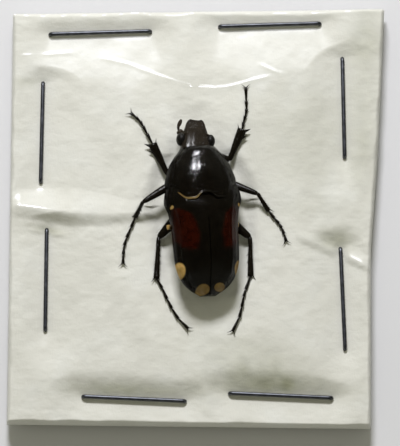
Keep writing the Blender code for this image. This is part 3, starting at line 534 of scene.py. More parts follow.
def new_material(name):
    material = bpy.data.materials.new(name)
    material.use_nodes = True
    tree = material.node_tree
    return material, tree, tree.nodes["Principled BSDF"]


def object_noise(tree, size_mm, detail=3.0, stretch=(1.0, 1.0, 1.0)):
    """Noise in the object's own space, with features of a given size."""
    place = node(tree, "TexCoord").outputs["Object"]
    scaled = node(tree, "Mapping", Vector=place, Scale=stretch)
    noise = node(tree, "TexNoise", Vector=scaled.outputs[0],
                 Scale=1.0 / (size_mm * METRES_PER_MM), Detail=detail)
    return noise.outputs["Fac"]


def object_cells(tree, size_mm):
    """Distance from the nearest of many points in the object's own space."""
    place = node(tree, "TexCoord").outputs["Object"]
    cells = node(tree, "TexVoronoi", Vector=place, Scale=1.0 / (size_mm * METRES_PER_MM))
    return cells.outputs["Distance"]


def painted_on(tree, name):
    """The numbers that paint stored on the mesh."""
    return node(tree, "Attribute", {"attribute_name": name}).outputs["Fac"]


def spread(tree, value, low, high):
    """A value between 0 and 1, brought between two others."""
    return node(tree, "MapRange", Value=value, To_Min=low, To_Max=high).outputs[0]


def mixed_colour(tree, share, first, second):
    return node(tree, "Mix", {"data_type": "RGBA"}, i0=share, i6=first, i7=second).outputs[2]


def ramp(tree, value, stops):
    made = node(tree, "ValToRGB", Fac=value)
    elements = made.color_ramp.elements
    while len(elements) < len(stops):
        elements.new(0.5)
    for element, (place, colour) in zip(elements, stops):
        element.position = place
        element.color = (*colour, 1.0)
    return made.outputs["Color"]


def bump(tree, shader, height, distance_mm, strength=1.0, under=None):
    made = node(tree, "Bump", Height=height, Strength=strength,
                Distance=distance_mm * METRES_PER_MM)
    if under is not None:
        tree.links.new(under, made.inputs["Normal"])
    tree.links.new(made.outputs["Normal"], shader.inputs["Normal"])
    return made.outputs["Normal"]


def cotton_material():
    material, tree, shader = new_material("cotton_wool")
    shader.inputs["Roughness"].default_value = 0.95
    shader.inputs["Sheen Weight"].default_value = 0.15
    shader.inputs["Specular IOR Level"].default_value = 0.2
    cotton = ramp(tree, object_noise(tree, 5.0, 4.0), (
        (0.25, (0.61, 0.60, 0.545)), (0.5, (0.65, 0.64, 0.585)), (0.75, (0.68, 0.675, 0.63))))
    fibres = object_noise(tree, 0.9, 5.0, (0.6, 1.0, 1.0))
    # Olive-grey painted shade, mixed into the cotton's colour where it is painted on the mesh
    card = ramp(tree, fibres, ((0.35, (0.22, 0.225, 0.15)), (0.65, (0.34, 0.34, 0.24))))
    colour = mixed_colour(tree, painted_on(tree, "painted_shade"), cotton, card)
    tree.links.new(colour, shader.inputs["Base Color"])
    strands = object_noise(tree, 0.2, 4.0, (1.0, 0.4, 1.0))
    first = bump(tree, shader, fibres, 0.16, 0.5)
    bump(tree, shader, strands, 0.05, 0.5, first)
    return material


def film_material():
    """Clear wrapping film: see-through, with the gloss of a smooth plastic."""
    material, tree, shader = new_material("clear_film")
    tree.nodes.remove(shader)
    relief = node(tree, "Bump", Height=object_noise(tree, 1.4, 4.0), Strength=0.15,
                  Distance=0.05 * METRES_PER_MM).outputs[0]
    smear = spread(tree, object_noise(tree, 6.0, 3.0), 0.15, 0.21)
    gloss, haze = (
        node(tree, "BsdfGlossy", Color=(0.96, 0.98, 1.0, 1.0), Roughness=roughness, Normal=relief)
        for roughness in (smear, 0.26))
    dulled = node(tree, "MixShader", Fac=0.08, i1=gloss.outputs[0], i2=haze.outputs[0])
    clear = node(tree, "BsdfTransparent", Color=(0.992, 0.994, 0.988, 1.0))
    facing = node(tree, "LayerWeight", Blend=0.5)
    power = node(tree, "Math", {"operation": "POWER"}, i0=facing.outputs["Facing"], i1=5.0)
    share = spread(tree, power.outputs[0], 0.03, 0.16)
    mirrored = node(tree, "Math", {"operation": "MULTIPLY"}, i0=share, i1=painted_on(tree, "gloss"))
    mix = node(tree, "MixShader", Fac=mirrored.outputs[0], i1=clear.outputs[0], i2=dulled.outputs[0])
    tree.links.new(mix.outputs[0], tree.nodes["Material Output"].inputs["Surface"])
    material.surface_render_method = "BLENDED"
    return material


def card_material():
    material, tree, shader = new_material("grey_card")
    shader.inputs["Roughness"].default_value = 0.85
    flecks = object_noise(tree, 0.5, 6.0, (1.0, 0.6, 1.0))
    colour = ramp(tree, flecks, (
        (0.3, (0.42, 0.40, 0.34)), (0.5, (0.52, 0.50, 0.43)), (0.72, (0.60, 0.58, 0.51))))
    tree.links.new(colour, shader.inputs["Base Color"])
    bump(tree, shader, flecks, 0.03, 0.5)
    return material


def steel_material():
    material, tree, shader = new_material("dull_steel_wire")
    shader.inputs["Metallic"].default_value = 1.0
    tarnish = object_noise(tree, 0.8, 5.0)
    colour = ramp(tree, tarnish, (
        (0.3, (0.07, 0.073, 0.077)), (0.6, (0.11, 0.115, 0.125)), (0.8, (0.17, 0.175, 0.19))))
    tree.links.new(colour, shader.inputs["Base Color"])
    tree.links.new(spread(tree, tarnish, 0.38, 0.52), shader.inputs["Roughness"])
    bump(tree, shader, object_noise(tree, 0.07, 2.0), 0.01, 0.5)
    return material


def add_markings(tree, shader, worn, base):
    """The shell's colour with red and cream parts as painted, the cream also carrying painted shade and a
    painted highlight, and its gloss with dull ones.
    """
    shine = spread(tree, painted_on(tree, "dull"), 0.2, 0.01)
    tree.links.new(shine, shader.inputs["Specular IOR Level"])
    for mark, darker, lighter in (
        ("red", (0.010, 0.0016, 0.0006), (0.021, 0.0032, 0.0011)),
        ("cream", (0.50, 0.30, 0.09), (0.72, 0.49, 0.18)),
    ):
        shades = ramp(tree, worn, ((0.35, darker), (0.7, lighter)))
        base = mixed_colour(tree, painted_on(tree, mark), base, shades)
    return base


def chitin_material(name, colour, roughness, pit_mm, pit_depth_mm, marked=False):
    """Hard black shell with fine pits."""
    material, tree, shader = new_material(name)
    shader.inputs["Specular IOR Level"].default_value = 0.13
    worn = object_noise(tree, 0.9, 5.0)
    base = ramp(tree, worn, ((0.35, tuple(0.7 * part for part in colour)), (0.7, colour)))
    if marked:
        base = add_markings(tree, shader, worn, base)
    tree.links.new(base, shader.inputs["Base Color"])
    tree.links.new(spread(tree, worn, roughness * 0.8, roughness * 1.3), shader.inputs["Roughness"])
    pits = node(tree, "MapRange", Value=object_cells(tree, pit_mm), From_Min=0.05, From_Max=0.4)
    first = bump(tree, shader, pits.outputs[0], pit_depth_mm, 0.7)
    bump(tree, shader, object_noise(tree, 0.05, 2.0), 0.004, 0.6, first)
    return material


def eye_material():
    material, tree, shader = new_material("compound_eye")
    shader.inputs["Base Color"].default_value = (0.007, 0.006, 0.005, 1.0)
    shader.inputs["Specular IOR Level"].default_value = 0.15
    shader.inputs["Roughness"].default_value = 0.35
    bump(tree, shader, object_cells(tree, 0.045), -0.012, 0.8)
    return material


# The mount

def edges_at(u, v):
    """Points of the packet at shares u across and v along."""
    front = np.interp(u, (0.0, 1.0), [place[1] for place in FRONT_EDGE])
    back = np.interp(u, (0.0, 1.0), [place[1] for place in BACK_EDGE])
    y = front + (back - front) * v
    left = np.interp(y, *zip(*LEFT_EDGE))
    right = np.interp(y, *zip(*RIGHT_EDGE))
    return left + (right - left) * u, y


def edge_distances(x, y):
    """Distances inward from the left, right, front and back edges."""
    left = x - np.interp(y, *zip(*LEFT_EDGE))
    right = np.interp(y, *zip(*RIGHT_EDGE)) - x
    front = y - np.interp(x, *zip(*FRONT_EDGE))
    back = np.interp(x, *zip(*BACK_EDGE)) - y
    return left, right, front, back


def inner_share(x, y):
    """How far inside the rims a place is: from 0 at an edge to 1."""
    return np.prod([smoothstep(distance, 0.0, RIM_SOFTNESS) for distance in edge_distances(x, y)], axis=0)


def smooth_least(first, second, soft):
    """The lesser of two heights, without a crease where they meet."""
    share = np.clip(0.5 + 0.5 * (second - first) / soft, 0.0, 1.0)
    return second + (first - second) * share - soft * share * (1.0 - share)


def crown_ends(ends):
    """Ends of a staple's crown, at its full length about the middle of its measured ends."""
    first, second = (np.array(end) for end in ends)
    middle = (first + second) / 2
    along = unit(second - first)
    return middle - along * CROWN_LENGTH / 2, middle + along * CROWN_LENGTH / 2


def from_stroke(x, y, first, second):
    """Offsets across and along the packet from the nearest point of a straight stretch."""
    run = np.asarray(second, float) - first
    share = np.clip(((x - first[0]) * run[0] + (y - first[1]) * run[1]) / run.dot(run), 0.0, 1.0)
    return x - first[0] - run[0] * share, y - first[1] - run[1] * share


def crown_distance(x, y):
    """Distance to the nearest staple's crown."""
    return np.min([np.hypot(*from_stroke(x, y, *crown_ends(ends))) for ends in STAPLES.values()], axis=0)


def away_from_crowns(x, y):
    """Share of the film's own shape, which fades out at the staples."""
    return smoothstep(crown_distance(x, y), *CROWN_FADE)


def staple_rise(x, y):
    """Height that the layers gain from the nearest staple to a place."""
    beside, behind, before = PINCH_SLOPES
    rises = []
    for ends in STAPLES.values():
        across, along = from_stroke(x, y, *crown_ends(ends))
        rises.append(np.hypot(across * beside, along * np.where(along > 0.0, behind, before)))
    return np.maximum(np.min(rises, axis=0) - PINCH_FLAT, 0.0)


def on_beetle(x, y):
    """A place in the packet, seen from above, in the beetle's own directions."""
    dx, dy = x - BEETLE_PLACE[0], y - BEETLE_PLACE[1]
    cosine, sine = math.cos(BEETLE_YAW), math.sin(BEETLE_YAW)
    return dx * cosine + dy * sine, dy * cosine - dx * sine


def body_distance(x, y):
    """Distance outside the beetle's outline, seen from above."""
    px, py = on_beetle(x, y)
    inside = np.clip(py, ELYTRA_PROFILE[-1][0], HEAD_PROFILE[-1][0])
    half_width = np.where(inside > 0.0, profile(PRONOTUM_PROFILE, 1, inside / PRONOTUM_FRONT),
                          profile(ELYTRA_PROFILE, 1, inside))
    half_width = np.where(inside > PRONOTUM_FRONT, profile(HEAD_PROFILE, 1, inside), half_width)
    return np.hypot(np.maximum(0.0, np.abs(px) - half_width), py - inside)


def pad_top(x, y):
    """Height of the cotton: thick in the middle, pinched at staples, hollow at the beetle."""
    height = PAD_TOP_AT_RIM + (PAD_TOP - PAD_TOP_AT_RIM) * inner_share(x, y)
    depth = PAD_HOLLOW_DEPTH * (
        1.0 - 0.75 * smoothstep(y, *PAD_HOLLOW_FRONT) - 0.6 * smoothstep(-y, *PAD_HOLLOW_REAR))
    height = height - depth * (1.0 - smoothstep(body_distance(x, y), *PAD_HOLLOW_FADE))
    return smooth_least(height, PAD_TOP_UNDER_STAPLE + staple_rise(x, y), PINCH_SOFTNESS)


def limb_point(x, y, half_height, lift=0.0):
    return np.array((x, y, float(pad_top(x, y)) + LIMB_OVER_PAD + half_height + lift))


def divided(route, parts=4):
    """Points along a route of straight stretches, each divided into equal parts."""
    points = []
    for start, end in zip(route, route[1:]):
        shares = np.linspace(0.0, 1.0, parts, endpoint=False)
        points += [np.array(start) * (1 - share) + np.array(end) * share for share in shares]
    return points + [np.array(route[-1])]


def back_samples():
    """Points over the beetle's back and eyes that hold the film up."""
    angle = np.linspace(0.0, math.pi, 41)[None, :]
    samples = []
    for rows, low, high in ((ELYTRA_PROFILE, -12.2, 0.0), (HEAD_PROFILE, 6.4, 10.1)):
        y = np.linspace(low, high, 44)[:, None] + 0 * angle
        x, z = arch(profile(rows, 1, y), profile(rows, 2, y), ELYTRA_SQUARENESS, angle)
        samples.append(np.stack([x, y, z], axis=-1).reshape(-1, 3))
    y = np.linspace(0.0, PRONOTUM_FRONT, 30)[:, None] + 0 * angle
    share = y / PRONOTUM_FRONT
    half_width, height = profile(PRONOTUM_PROFILE, 1, share), profile(PRONOTUM_PROFILE, 2, share)
    x, z = arch(half_width, height, ELYTRA_SQUARENESS, angle)
    samples.append(np.stack([x, y, z], axis=-1).reshape(-1, 3))
    x, y, z = EYE_CENTRE
    samples.append(np.array([(side * (x + EYE_RADII[0] / 2), y, z + EYE_RADII[2]) for side in (-1, 1)]))
    return from_beetle(np.concatenate(samples))


def back_height(x, y):
    """Height of wing cases and pronotum over a place, and 0 outside their gentle part."""
    px, py = on_beetle(x, y)
    front = smoothstep(py, -0.8, 0.8)
    half_width, height = (
        profile(ELYTRA_PROFILE, column, py) * (1.0 - front)
        + profile(PRONOTUM_PROFILE, column, py / PRONOTUM_FRONT) * front for column in (1, 2))
    cosine, sine = math.cos(BEETLE_ROLL), math.sin(BEETLE_ROLL)
    z = 3.0 + 0.0 * px
    for _ in range(10):
        across = np.clip((px - z * sine) / cosine / half_width, -1.0, 1.0)
        z = height * (1.0 - np.abs(across) ** ELYTRA_SQUARENESS) ** (1.0 / ELYTRA_SQUARENESS)
    on_back = (np.abs(across) < 0.85) & (py > -11.6) & (py < PRONOTUM_FRONT)
    return np.where(on_back, BEETLE_PLACE[2] + z * cosine - across * half_width * sine, 0.0)


def leg_samples():
    """Points along the legs' upper sides that hold the film up."""
    samples = []
    for leg in LEGS.values():
        thickness = max(leg["tibia_widths"]) * LEG_FLATNESS
        places = [(*leg["knee"], leg["knee_lift"] + 0.3)]
        places += [(x, y, 0.0) for x, y in (leg["ankle"], *leg["toes"])]
        samples += [limb_point(x, y, thickness, lift) for x, y, lift in divided(places, 10)]
    return np.array(samples)


def leaning(samples, x, y, slope):
    """Height of a sheet that leans on points and falls away from them at a slope."""
    height = np.empty_like(x)
    for j in range(len(x)):
        near = samples[np.abs(samples[:, 1] - y[j].mean()) < LEANING_REACH]
        if not len(near):
            height[j] = 0.0
            continue
        distance = np.hypot(near[:, 0] - x[j][:, None], near[:, 1] - y[j][:, None])
        height[j] = np.max(near[:, 2] - slope * distance, axis=1)
    return height


def soft_lines(length, inset, spacing, bands=()):
    """Shares along a side, with close lines in the rims and in bands of it."""
    places = [0.0]
    while places[-1] < length:
        here = places[-1]
        step = spacing
        if any(low < here - length / 2 < high for low, high in bands):
            step = FOLD_SPACING
        if min(here, length - here) < RIM_BAND:
            step = RIM_SPACING
        places.append(here + step)
    return (inset + np.array(places) / places[-1] * (length - 2 * inset)) / length


def soft_grid(inset, spacing, bands=()):
    across = soft_lines(PACKET_WIDTH, inset, spacing)
    return edges_at(*np.meshgrid(across, soft_lines(PACKET_LENGTH, inset, spacing, bands)))


def rim_share(x, y, inset):
    """Height share of the rounded rims at a place."""
    share = 1.0
    wobble = 1.0 + RIM_WOBBLE * soft_noise(x, y, 2.6, 41)
    for distance, rounding in zip(edge_distances(x, y), RIM_ROUNDINGS):
        inward = np.clip((distance - inset) / (rounding * wobble), 0.0, 1.0)
        share = share * np.sqrt(1.0 - (1.0 - inward) ** 2)
    return share


def cotton_relief(x, y):
    """Lumps of the cotton under the film."""
    flat = smoothstep(crown_distance(x, y), 0.6, 2.5)
    lumps = 0.07 * soft_noise(x, y, 3.1, 3) + 0.035 * soft_noise(x, y, 1.1, 4)
    return flat * (lumps + 0.02 * soft_noise(x, y, 0.5, 5))


def fold_height(x, y, route):
    """Height that one fold adds to the film, and the distance from its crest."""
    places = np.array(route)
    best = np.full(x.shape, 1e9)
    height = np.zeros_like(x)
    lengths = np.linalg.norm(np.diff(places[:, :2], axis=0), axis=1)
    total, before = lengths.sum(), 0.0
    for start, end, length in zip(places, places[1:], lengths):
        run = (end - start)[:2] / length
        along = (x - start[0]) * run[0] + (y - start[1]) * run[1]
        share = np.clip(along / length, 0.0, 1.0)
        off = np.hypot(along - share * length, (y - start[1]) * run[0] - (x - start[0]) * run[1])
        north = (y - start[1]) * run[0] - (x - start[0]) * run[1] > 0.0
        width, slope, fall = (start[k] + (end[k] - start[k]) * share for k in (2, 3, 4))
        rise = slope * width / FOLD_FADE
        climb = rise * np.maximum(1.0 - off / width, 0.0) ** FOLD_FADE
        drop = rise * (1.0 - smoothstep(off / fall, 0.0, 1.0))
        reached = before + share * length
        ends = smoothstep(np.minimum(reached, total - reached), -0.2, min(1.5, 0.35 * total))
        here = np.where(north, climb, drop) * ends
        nearer = off < best
        height = np.where(nearer, here, height)
        best = np.where(nearer, off, best)
        before += length
    return height, best


def folds_height(x, y):
    """Height that all folds add."""
    return away_from_crowns(x, y) * sum(fold_height(x, y, route)[0] for _, _, *route in FOLDS)


def streak_share(x, y, width, places):
    """Share of a ridge's height at a place near its line."""
    off = np.min([np.hypot(*from_stroke(x, y, *ends)) for ends in zip(places, places[1:])], axis=0)
    from_ends = np.min([np.hypot(x - place[0], y - place[1]) for place in (places[0], places[-1])], axis=0)
    return np.exp(-(off / width) ** 2) * smoothstep(from_ends, -0.5, 1.0)


def film_height(x, y):
    """Height of the film over cotton, back and legs, with its folds and streaks."""
    level = FILM_LEVEL_AT_RIM + (FILM_LEVEL - FILM_LEVEL_AT_RIM) * inner_share(x, y)
    over_back = np.maximum(back_height(x, y), leaning(BACK_SAMPLES, x, y, FILM_SLOPE_FROM_BACK))
    over_legs = leaning(LEG_SAMPLES, x, y, FILM_SLOPE_FROM_LEGS) + FILM_OVER_LEGS
    over_cotton = pad_top(x, y) + cotton_relief(x, y) + FILM_LEAST_GAP
    film = np.max([level, over_legs, over_cotton], axis=0)
    film = smooth_least(film, FILM_UNDER_STAPLE + staple_rise(x, y), PINCH_SOFTNESS)
    film = np.maximum(film, over_back + FILM_OVER_BACK)
    away = away_from_crowns(x, y)
    crinkles = 0.015 * soft_noise(x, y, 2.4, 7) + 0.003 * soft_noise(x, y, 0.8, 8)
    film = film + folds_height(x, y) + away * crinkles
    facing = -np.gradient(film, axis=0) / np.gradient(y, axis=0)
    mirroring = np.tan(np.radians(MIRROR_TILT + MIRROR_TILT_PER_MM * y))
    steepest = math.sqrt(2.0 / math.e)
    for width, *places in STREAKS:
        height = np.clip(mirroring - facing, *RIDGE_SLOPES) * width / steepest
        film = film + away * height * streak_share(x, y, width, places)
    under_crown = CROWN_HEIGHT - WIRE_RADIUS - 0.02
    return np.where(crown_distance(x, y) < 0.5, np.minimum(film, under_crown), film)


def film_gloss(x, y):
    """How clearly the film mirrors: not at all where it is slack beside the beetle."""
    off = body_distance(x, y)
    gloss = np.where(off < FILM_ON_BEETLE, GLOSS_ON_BEETLE, GLOSS_OF_FILM * smoothstep(off, *TAUT_FILM))
    for facet, crest, *route in FOLDS:
        height, from_crest = fold_height(x, y, route)
        within = smoothstep(height, 0.0, 0.05)
        of_fold = facet + crest * np.exp(-(from_crest / CREST_WIDTH) ** 2)
        gloss = gloss + (of_fold - gloss) * within
    for width, *places in STREAKS:
        gloss = np.maximum(gloss, GLOSS_OF_STREAKS * np.sqrt(streak_share(x, y, width, places)))
    return gloss


def painted_shade_share(x, y):
    """How much painted shade darkens the cotton at a place."""
    share = 0.0 * x
    uneven = 1.0 + 0.25 * soft_noise(x, y, 1.4, 21)
    for *place, most in PAINTED_SHADE_PLACES:
        share = share + most * np.exp(-1.2 * spot_reach(x, y, *place) ** 2) * uneven
    return np.clip(share, 0.0, 1.0)


def make_cotton():
    x, y = soft_grid(PAD_INSET, COTTON_SPACING, FOLD_BANDS[:1])
    top = pad_top(x, y) + cotton_relief(x, y) + PAD_IN_FOLDS * folds_height(x, y)
    top = PAD_RIM_BASE + (top - PAD_RIM_BASE) * rim_share(x, y, PAD_INSET)
    upper = np.stack([x, y, top], axis=-1)
    lower = np.stack([x, y, np.full_like(x, CARD_TOP + 0.02)], axis=-1)
    points, faces = slab(upper, lower)
    cotton = new_piece("cotton_wool_pad", points, faces, cotton_material(), ["cotton_pad"])
    # Painted shade on the cotton, from its listed patches
    paint(cotton, "painted_shade", [painted_shade_share(x, y)] * 2)


def make_film():
    x, y = soft_grid(0.0, FILM_SPACING, FOLD_BANDS)
    height = film_height(x, y)
    upper = np.stack([x, y, FILM_BOTTOM + (height - FILM_BOTTOM) * rim_share(x, y, 0.0)], axis=-1)
    x_in, y_in = soft_grid(FILM_THICKNESS, FILM_SPACING, FOLD_BANDS)
    share = rim_share(x_in, y_in, FILM_THICKNESS)
    level = FILM_BOTTOM + (height - FILM_THICKNESS - FILM_BOTTOM) * share
    points, faces = slab(upper, np.stack([x_in, y_in, level], axis=-1))
    film = new_piece("clear_film_cover", points, faces, film_material(), ["film"],
                     FILM_CREASE_ANGLE)
    paint(film, "gloss", [film_gloss(x, y)] * 2)


def make_staples():
    finish = steel_material()
    for name, ends in STAPLES.items():
        first, second = (np.array((*end, 0.0)) for end in crown_ends(ends))
        along = unit(second - first)
        low, high = UP * WIRE_RADIUS, UP * CROWN_HEIGHT
        corners = [
            first + along * PRONG_LENGTH + low, first + low, first + high,
            second + high, second + low, second - along * PRONG_LENGTH + low,
        ]
        route = [corners[0]]
        for before, corner, after in zip(corners, corners[1:], corners[2:]):
            start = corner + unit(before - corner) * WIRE_BEND
            end = corner + unit(after - corner) * WIRE_BEND
            for t in np.linspace(0.0, 1.0, 7):
                route.append((1 - t) ** 2 * start + 2 * t * (1 - t) * corner + t * t * end)
        route.append(corners[-1])
        out_of_bends = np.cross(np.cross(along, UP), np.gradient(route, axis=0))
        soup = Soup()
        soup.tube(route, WIRE_RADIUS, WIRE_RADIUS, WIRE_SIDES, out_of_bends)
        soup_piece(name + "_wire", soup, finish, [name], 50.0)


# The beetle

def shell_plate(name, points, relief, finish, nodes):
    """A hard plate over a grid of points, raised by its relief and closed below."""
    normals = unit(np.cross(np.gradient(points, axis=1), np.gradient(points, axis=0)))
    normals *= np.sign(np.sum(normals[:, :, 2]))
    upper = points + normals * relief[:, :, None]
    lower = points.copy()
    lower[:, :, 2] = PLATE_BOTTOM
    lower[:, :, 0] *= 0.97
    merged, faces = slab(from_beetle(upper), from_beetle(lower))
    return new_piece(name, merged, faces, finish, nodes)


def elytron_relief(x, y, half_width):
    """Rows of pits, a raised suture, and the bumps at the shoulder and near the tip."""
    inward = x / half_width
    lanes = inward * STRIA_COUNT
    fade = smoothstep(y, -11.5, -10.0) * smoothstep(-y, -0.2, 0.8) * smoothstep(inward, 0.1, 0.2)
    groove = np.exp(-((lanes - np.round(lanes)) / 0.16) ** 2)
    pits = 0.5 + 0.5 * np.cos(y * math.tau / 0.28 + np.round(lanes) * 1.7)
    relief = -STRIA_DEPTH * groove * (0.4 + 0.6 * pits) * fade
    relief += 0.07 * np.exp(-(x / 0.28) ** 2) * smoothstep(-y, 1.5, 6.0)
    relief += 0.16 * np.exp(-((x - 3.35) / 0.75) ** 2 - ((y + 1.9) / 0.7) ** 2)
    relief += 0.2 * np.exp(-((x - 2.35) / 0.6) ** 2 - ((y + 9.6) / 0.6) ** 2)
    relief -= 0.1 * np.exp(-((x - 1.9) / 0.7) ** 2) * smoothstep(-y, 0.5, 3.0) * smoothstep(y, -9.5, -7.0)
    return relief


def make_elytra(finish):
    for side, label in ((-1, "left"), (1, "right")):
        v = np.linspace(0.0, 1.0, ELYTRA_ROWS)[:, None]
        low = ELYTRA_PROFILE[-1][0]
        y = ELYTRA_FRONT + (low - ELYTRA_FRONT) * (1 - (1 - v) ** 1.25)
        half_width, height = profile(ELYTRA_PROFILE, 1, y), profile(ELYTRA_PROFILE, 2, y)
        start = np.arccos(np.minimum(1.0, (SUTURE_GAP / half_width)) ** (ELYTRA_SQUARENESS / 2))
        angle = start * (1 - np.linspace(0.0, 1.0, ELYTRA_COLUMNS)[None, :])
        x, z = arch(half_width, height, ELYTRA_SQUARENESS, angle)
        y = np.broadcast_to(y, x.shape)
        relief = elytron_relief(x, y, half_width)
        points = np.stack([side * x * ELYTRA_WIDENING[side], y, z], axis=-1)
        plate = shell_plate("elytron_%s_case" % label, points, relief, finish,
                            ["elytron_" + label])
        reds, creams_and_painted_shade = markings(side, x, y)
        paint(plate, "red", reds)
        paint(plate, "cream", creams_and_painted_shade)
        paint(plate, "dull", [smoothstep(x / half_width, *DULL_FLANKS)] * 2)


def markings(side, x, y):
    """Red patch and cream spots of one wing case, from the suture outward, with painted shade on the spots
    that face away from the light.
    """
    ragged = 0.12 * soft_noise(x, y, 0.6, 11 + side)
    inner = np.interp(y, *zip(*RED_INNER_EDGE)) + RED_FURTHER_OUT[side] + ragged
    red = smoothstep(x, inner - 0.3, inner + 0.3) * (1.0 - smoothstep(x, 3.9, 4.3))
    below_front = np.interp(x, *zip(*RED_FRONT_EDGE)) - y + ragged
    above_rear = y - np.interp(x, *zip(*RED_REAR_EDGE)) + ragged
    red = red * smoothstep(below_front, -0.25, 0.25) * smoothstep(above_rear, -0.35, 0.35)
    # The right lateral spot and both apical spots are painted fainter: painted shade where these spots face
    # away from the light
    cream = spot(x, y, (3.75, -9.15), (0.72, 1.0), -17.0) * (0.9 if side < 0 else 0.5)
    cream = np.maximum(cream, 0.32 * spot(x, y, *APICAL_SPOT[side]))
    cream = np.maximum(cream, 0.7 * spot(x, y, (4.1, -1.3), (0.17, 0.19)))
    cream = cream * (1.0 + 0.2 * soft_noise(x, y, 0.5, 31))
    return red * (1 - cream), cream


def pronotum_rear(x):
    """Hind margin: two lobes, cut back at the hind angles and notched at the scutellum."""
    to_angles = smoothstep(np.abs(x), PRONOTUM_LOBE_HALF_WIDTH, PRONOTUM_PROFILE[0][1])
    to_notch = 1.0 - smoothstep(np.abs(x), PRONOTUM_NOTCH_INNER, PRONOTUM_NOTCH_OUTER)
    back_to_angles = (PRONOTUM_HIND_ANGLE_Y - PRONOTUM_LOBE_Y) * to_angles
    return PRONOTUM_LOBE_Y + back_to_angles + PRONOTUM_NOTCH_DEPTH * to_notch


def make_pronotum(finish):
    share = np.linspace(0.0, 1.0, PRONOTUM_ROWS)[:, None] + np.zeros((1, PRONOTUM_COLUMNS))
    half_width, height = profile(PRONOTUM_PROFILE, 1, share), profile(PRONOTUM_PROFILE, 2, share)
    angle = np.linspace(0.0, math.pi, PRONOTUM_COLUMNS)[None, :]
    x, z = arch(half_width, height, PRONOTUM_SQUARENESS, angle)
    rear = pronotum_rear(x * PRONOTUM_PROFILE[0][1] / half_width)
    y = rear + (PRONOTUM_FRONT - rear) * share
    from_rear = y - rear
    relief = 0.04 * np.exp(-((from_rear - 0.1) / 0.1) ** 2)
    relief -= 0.02 * np.exp(-((from_rear - 0.34) / 0.14) ** 2)
    from_side = angle * (1 + 0 * share)
    from_side = np.minimum(from_side, math.pi - from_side)
    relief += 0.05 * np.exp(-((from_side - 0.05) / 0.06) ** 2)
    plate = shell_plate("pronotum_shield", np.stack([x, y, z], axis=-1), relief, finish,
                        ["pronotum"])
    # A pale rim painted on the left lobe only: a pale hind margin together with a painted highlight where
    # the light catches the left lobe; the right lobe is left dark
    edge = np.exp(-((from_rear - 0.1) / 0.13) ** 2) * smoothstep(np.abs(x), 0.4, 1.2)
    edge = edge * (1 - smoothstep(np.abs(x), 3.9, 4.3)) * np.where(x < 0, 0.25, 0.0)
    paint(plate, "cream", edge)
    paint(plate, "red", 0.0)
    paint(plate, "dull", [smoothstep(np.abs(x / half_width), *DULL_FLANKS)] * 2)


def make_scutellum(finish):
    share = np.linspace(0.0, 1.0, 50)[:, None]
    y = SCUTELLUM_FRONT + (SCUTELLUM_APEX - SCUTELLUM_FRONT) * share
    half_width = SCUTELLUM_HALF_WIDTH * (1 - share ** 1.15) + 0.04
    x = half_width * np.linspace(-1.0, 1.0, 31)[None, :]
    y = np.broadcast_to(y, x.shape)
    lift = (1 - np.abs(x / profile(ELYTRA_PROFILE, 1, y)) ** ELYTRA_SQUARENESS) ** (1 / ELYTRA_SQUARENESS)
    z = profile(ELYTRA_PROFILE, 2, y) * lift + 0.02 - 0.1 * np.abs(x / half_width) ** 6
    upper = np.stack([x, y, z], axis=-1)
    lower = upper - np.array((0.0, 0.0, 0.6))
    points, faces = slab(from_beetle(upper), from_beetle(lower))
    new_piece("scutellum_plate", points, faces, finish, ["scutellum"])


def make_head(finish):
    rows, columns = 90, 72
    y = np.linspace(HEAD_PROFILE[0][0], HEAD_PROFILE[-1][0], rows)[:, None]
    half_width, crown, depth = (profile(HEAD_PROFILE, column, y) for column in (1, 2, 3))
    angle = math.tau * np.arange(columns)[None, :] / columns
    x, z = arch(half_width, depth / 2, HEAD_SQUARENESS, angle)
    z = np.where(np.sin(angle) >= 0, z, -z) + crown - depth / 2
    y = np.broadcast_to(y, x.shape).copy()
    above = np.clip(np.sin(angle), 0.0, 1.0)
    side = np.abs(x) / half_width
    clypeus = smoothstep(y, 8.3, 9.0)
    rim = 0.1 * smoothstep(side, 0.75, 0.95) - 0.07 * (1 - smoothstep(side, 0.5, 0.85))
    z = z + above * clypeus * rim
    z = z + above * 0.12 * np.exp(-(x / 0.35) ** 2) * (1 - smoothstep(y, 8.0, 8.9))
    front = smoothstep(y, 9.75, 10.05)
    z = z + above * 0.08 * front
    y = y - 0.22 * front * np.exp(-(x / 0.4) ** 2)
    soup = Soup()
    soup.loft(from_head(np.stack([x, y, z], axis=-1)))
    for side in (-1, 1):
        canthus = np.linspace((side * 1.2, 8.12, 0.75), (side * 2.15, 7.92, 0.47), 9)
        soup.tube(from_head(canthus), np.linspace(0.2, 0.09, 9), np.linspace(0.13, 0.05, 9), 12)
    soup_piece("head_capsule", soup, finish, ["head"])


def make_eyes():
    finish = eye_material()
    for side, label in ((-1, "left"), (1, "right")):
        latitudes = np.linspace(0.02, math.pi - 0.02, 28)[:, None]
        longitudes = math.tau * np.arange(48)[None, :] / 48
        x = np.sin(latitudes) * np.cos(longitudes)
        z = np.sin(latitudes) * np.sin(longitudes)
        y = np.cos(latitudes) + 0 * longitudes
        ball = np.stack([x, y, z], axis=-1) * np.array(EYE_RADII)
        centre = np.array((side * EYE_CENTRE[0], EYE_CENTRE[1], EYE_CENTRE[2]))
        soup = Soup()
        soup.loft(from_head(ball + centre))
        soup_piece("compound_eye_" + label, soup, finish, ["eye_" + label], 80.0)


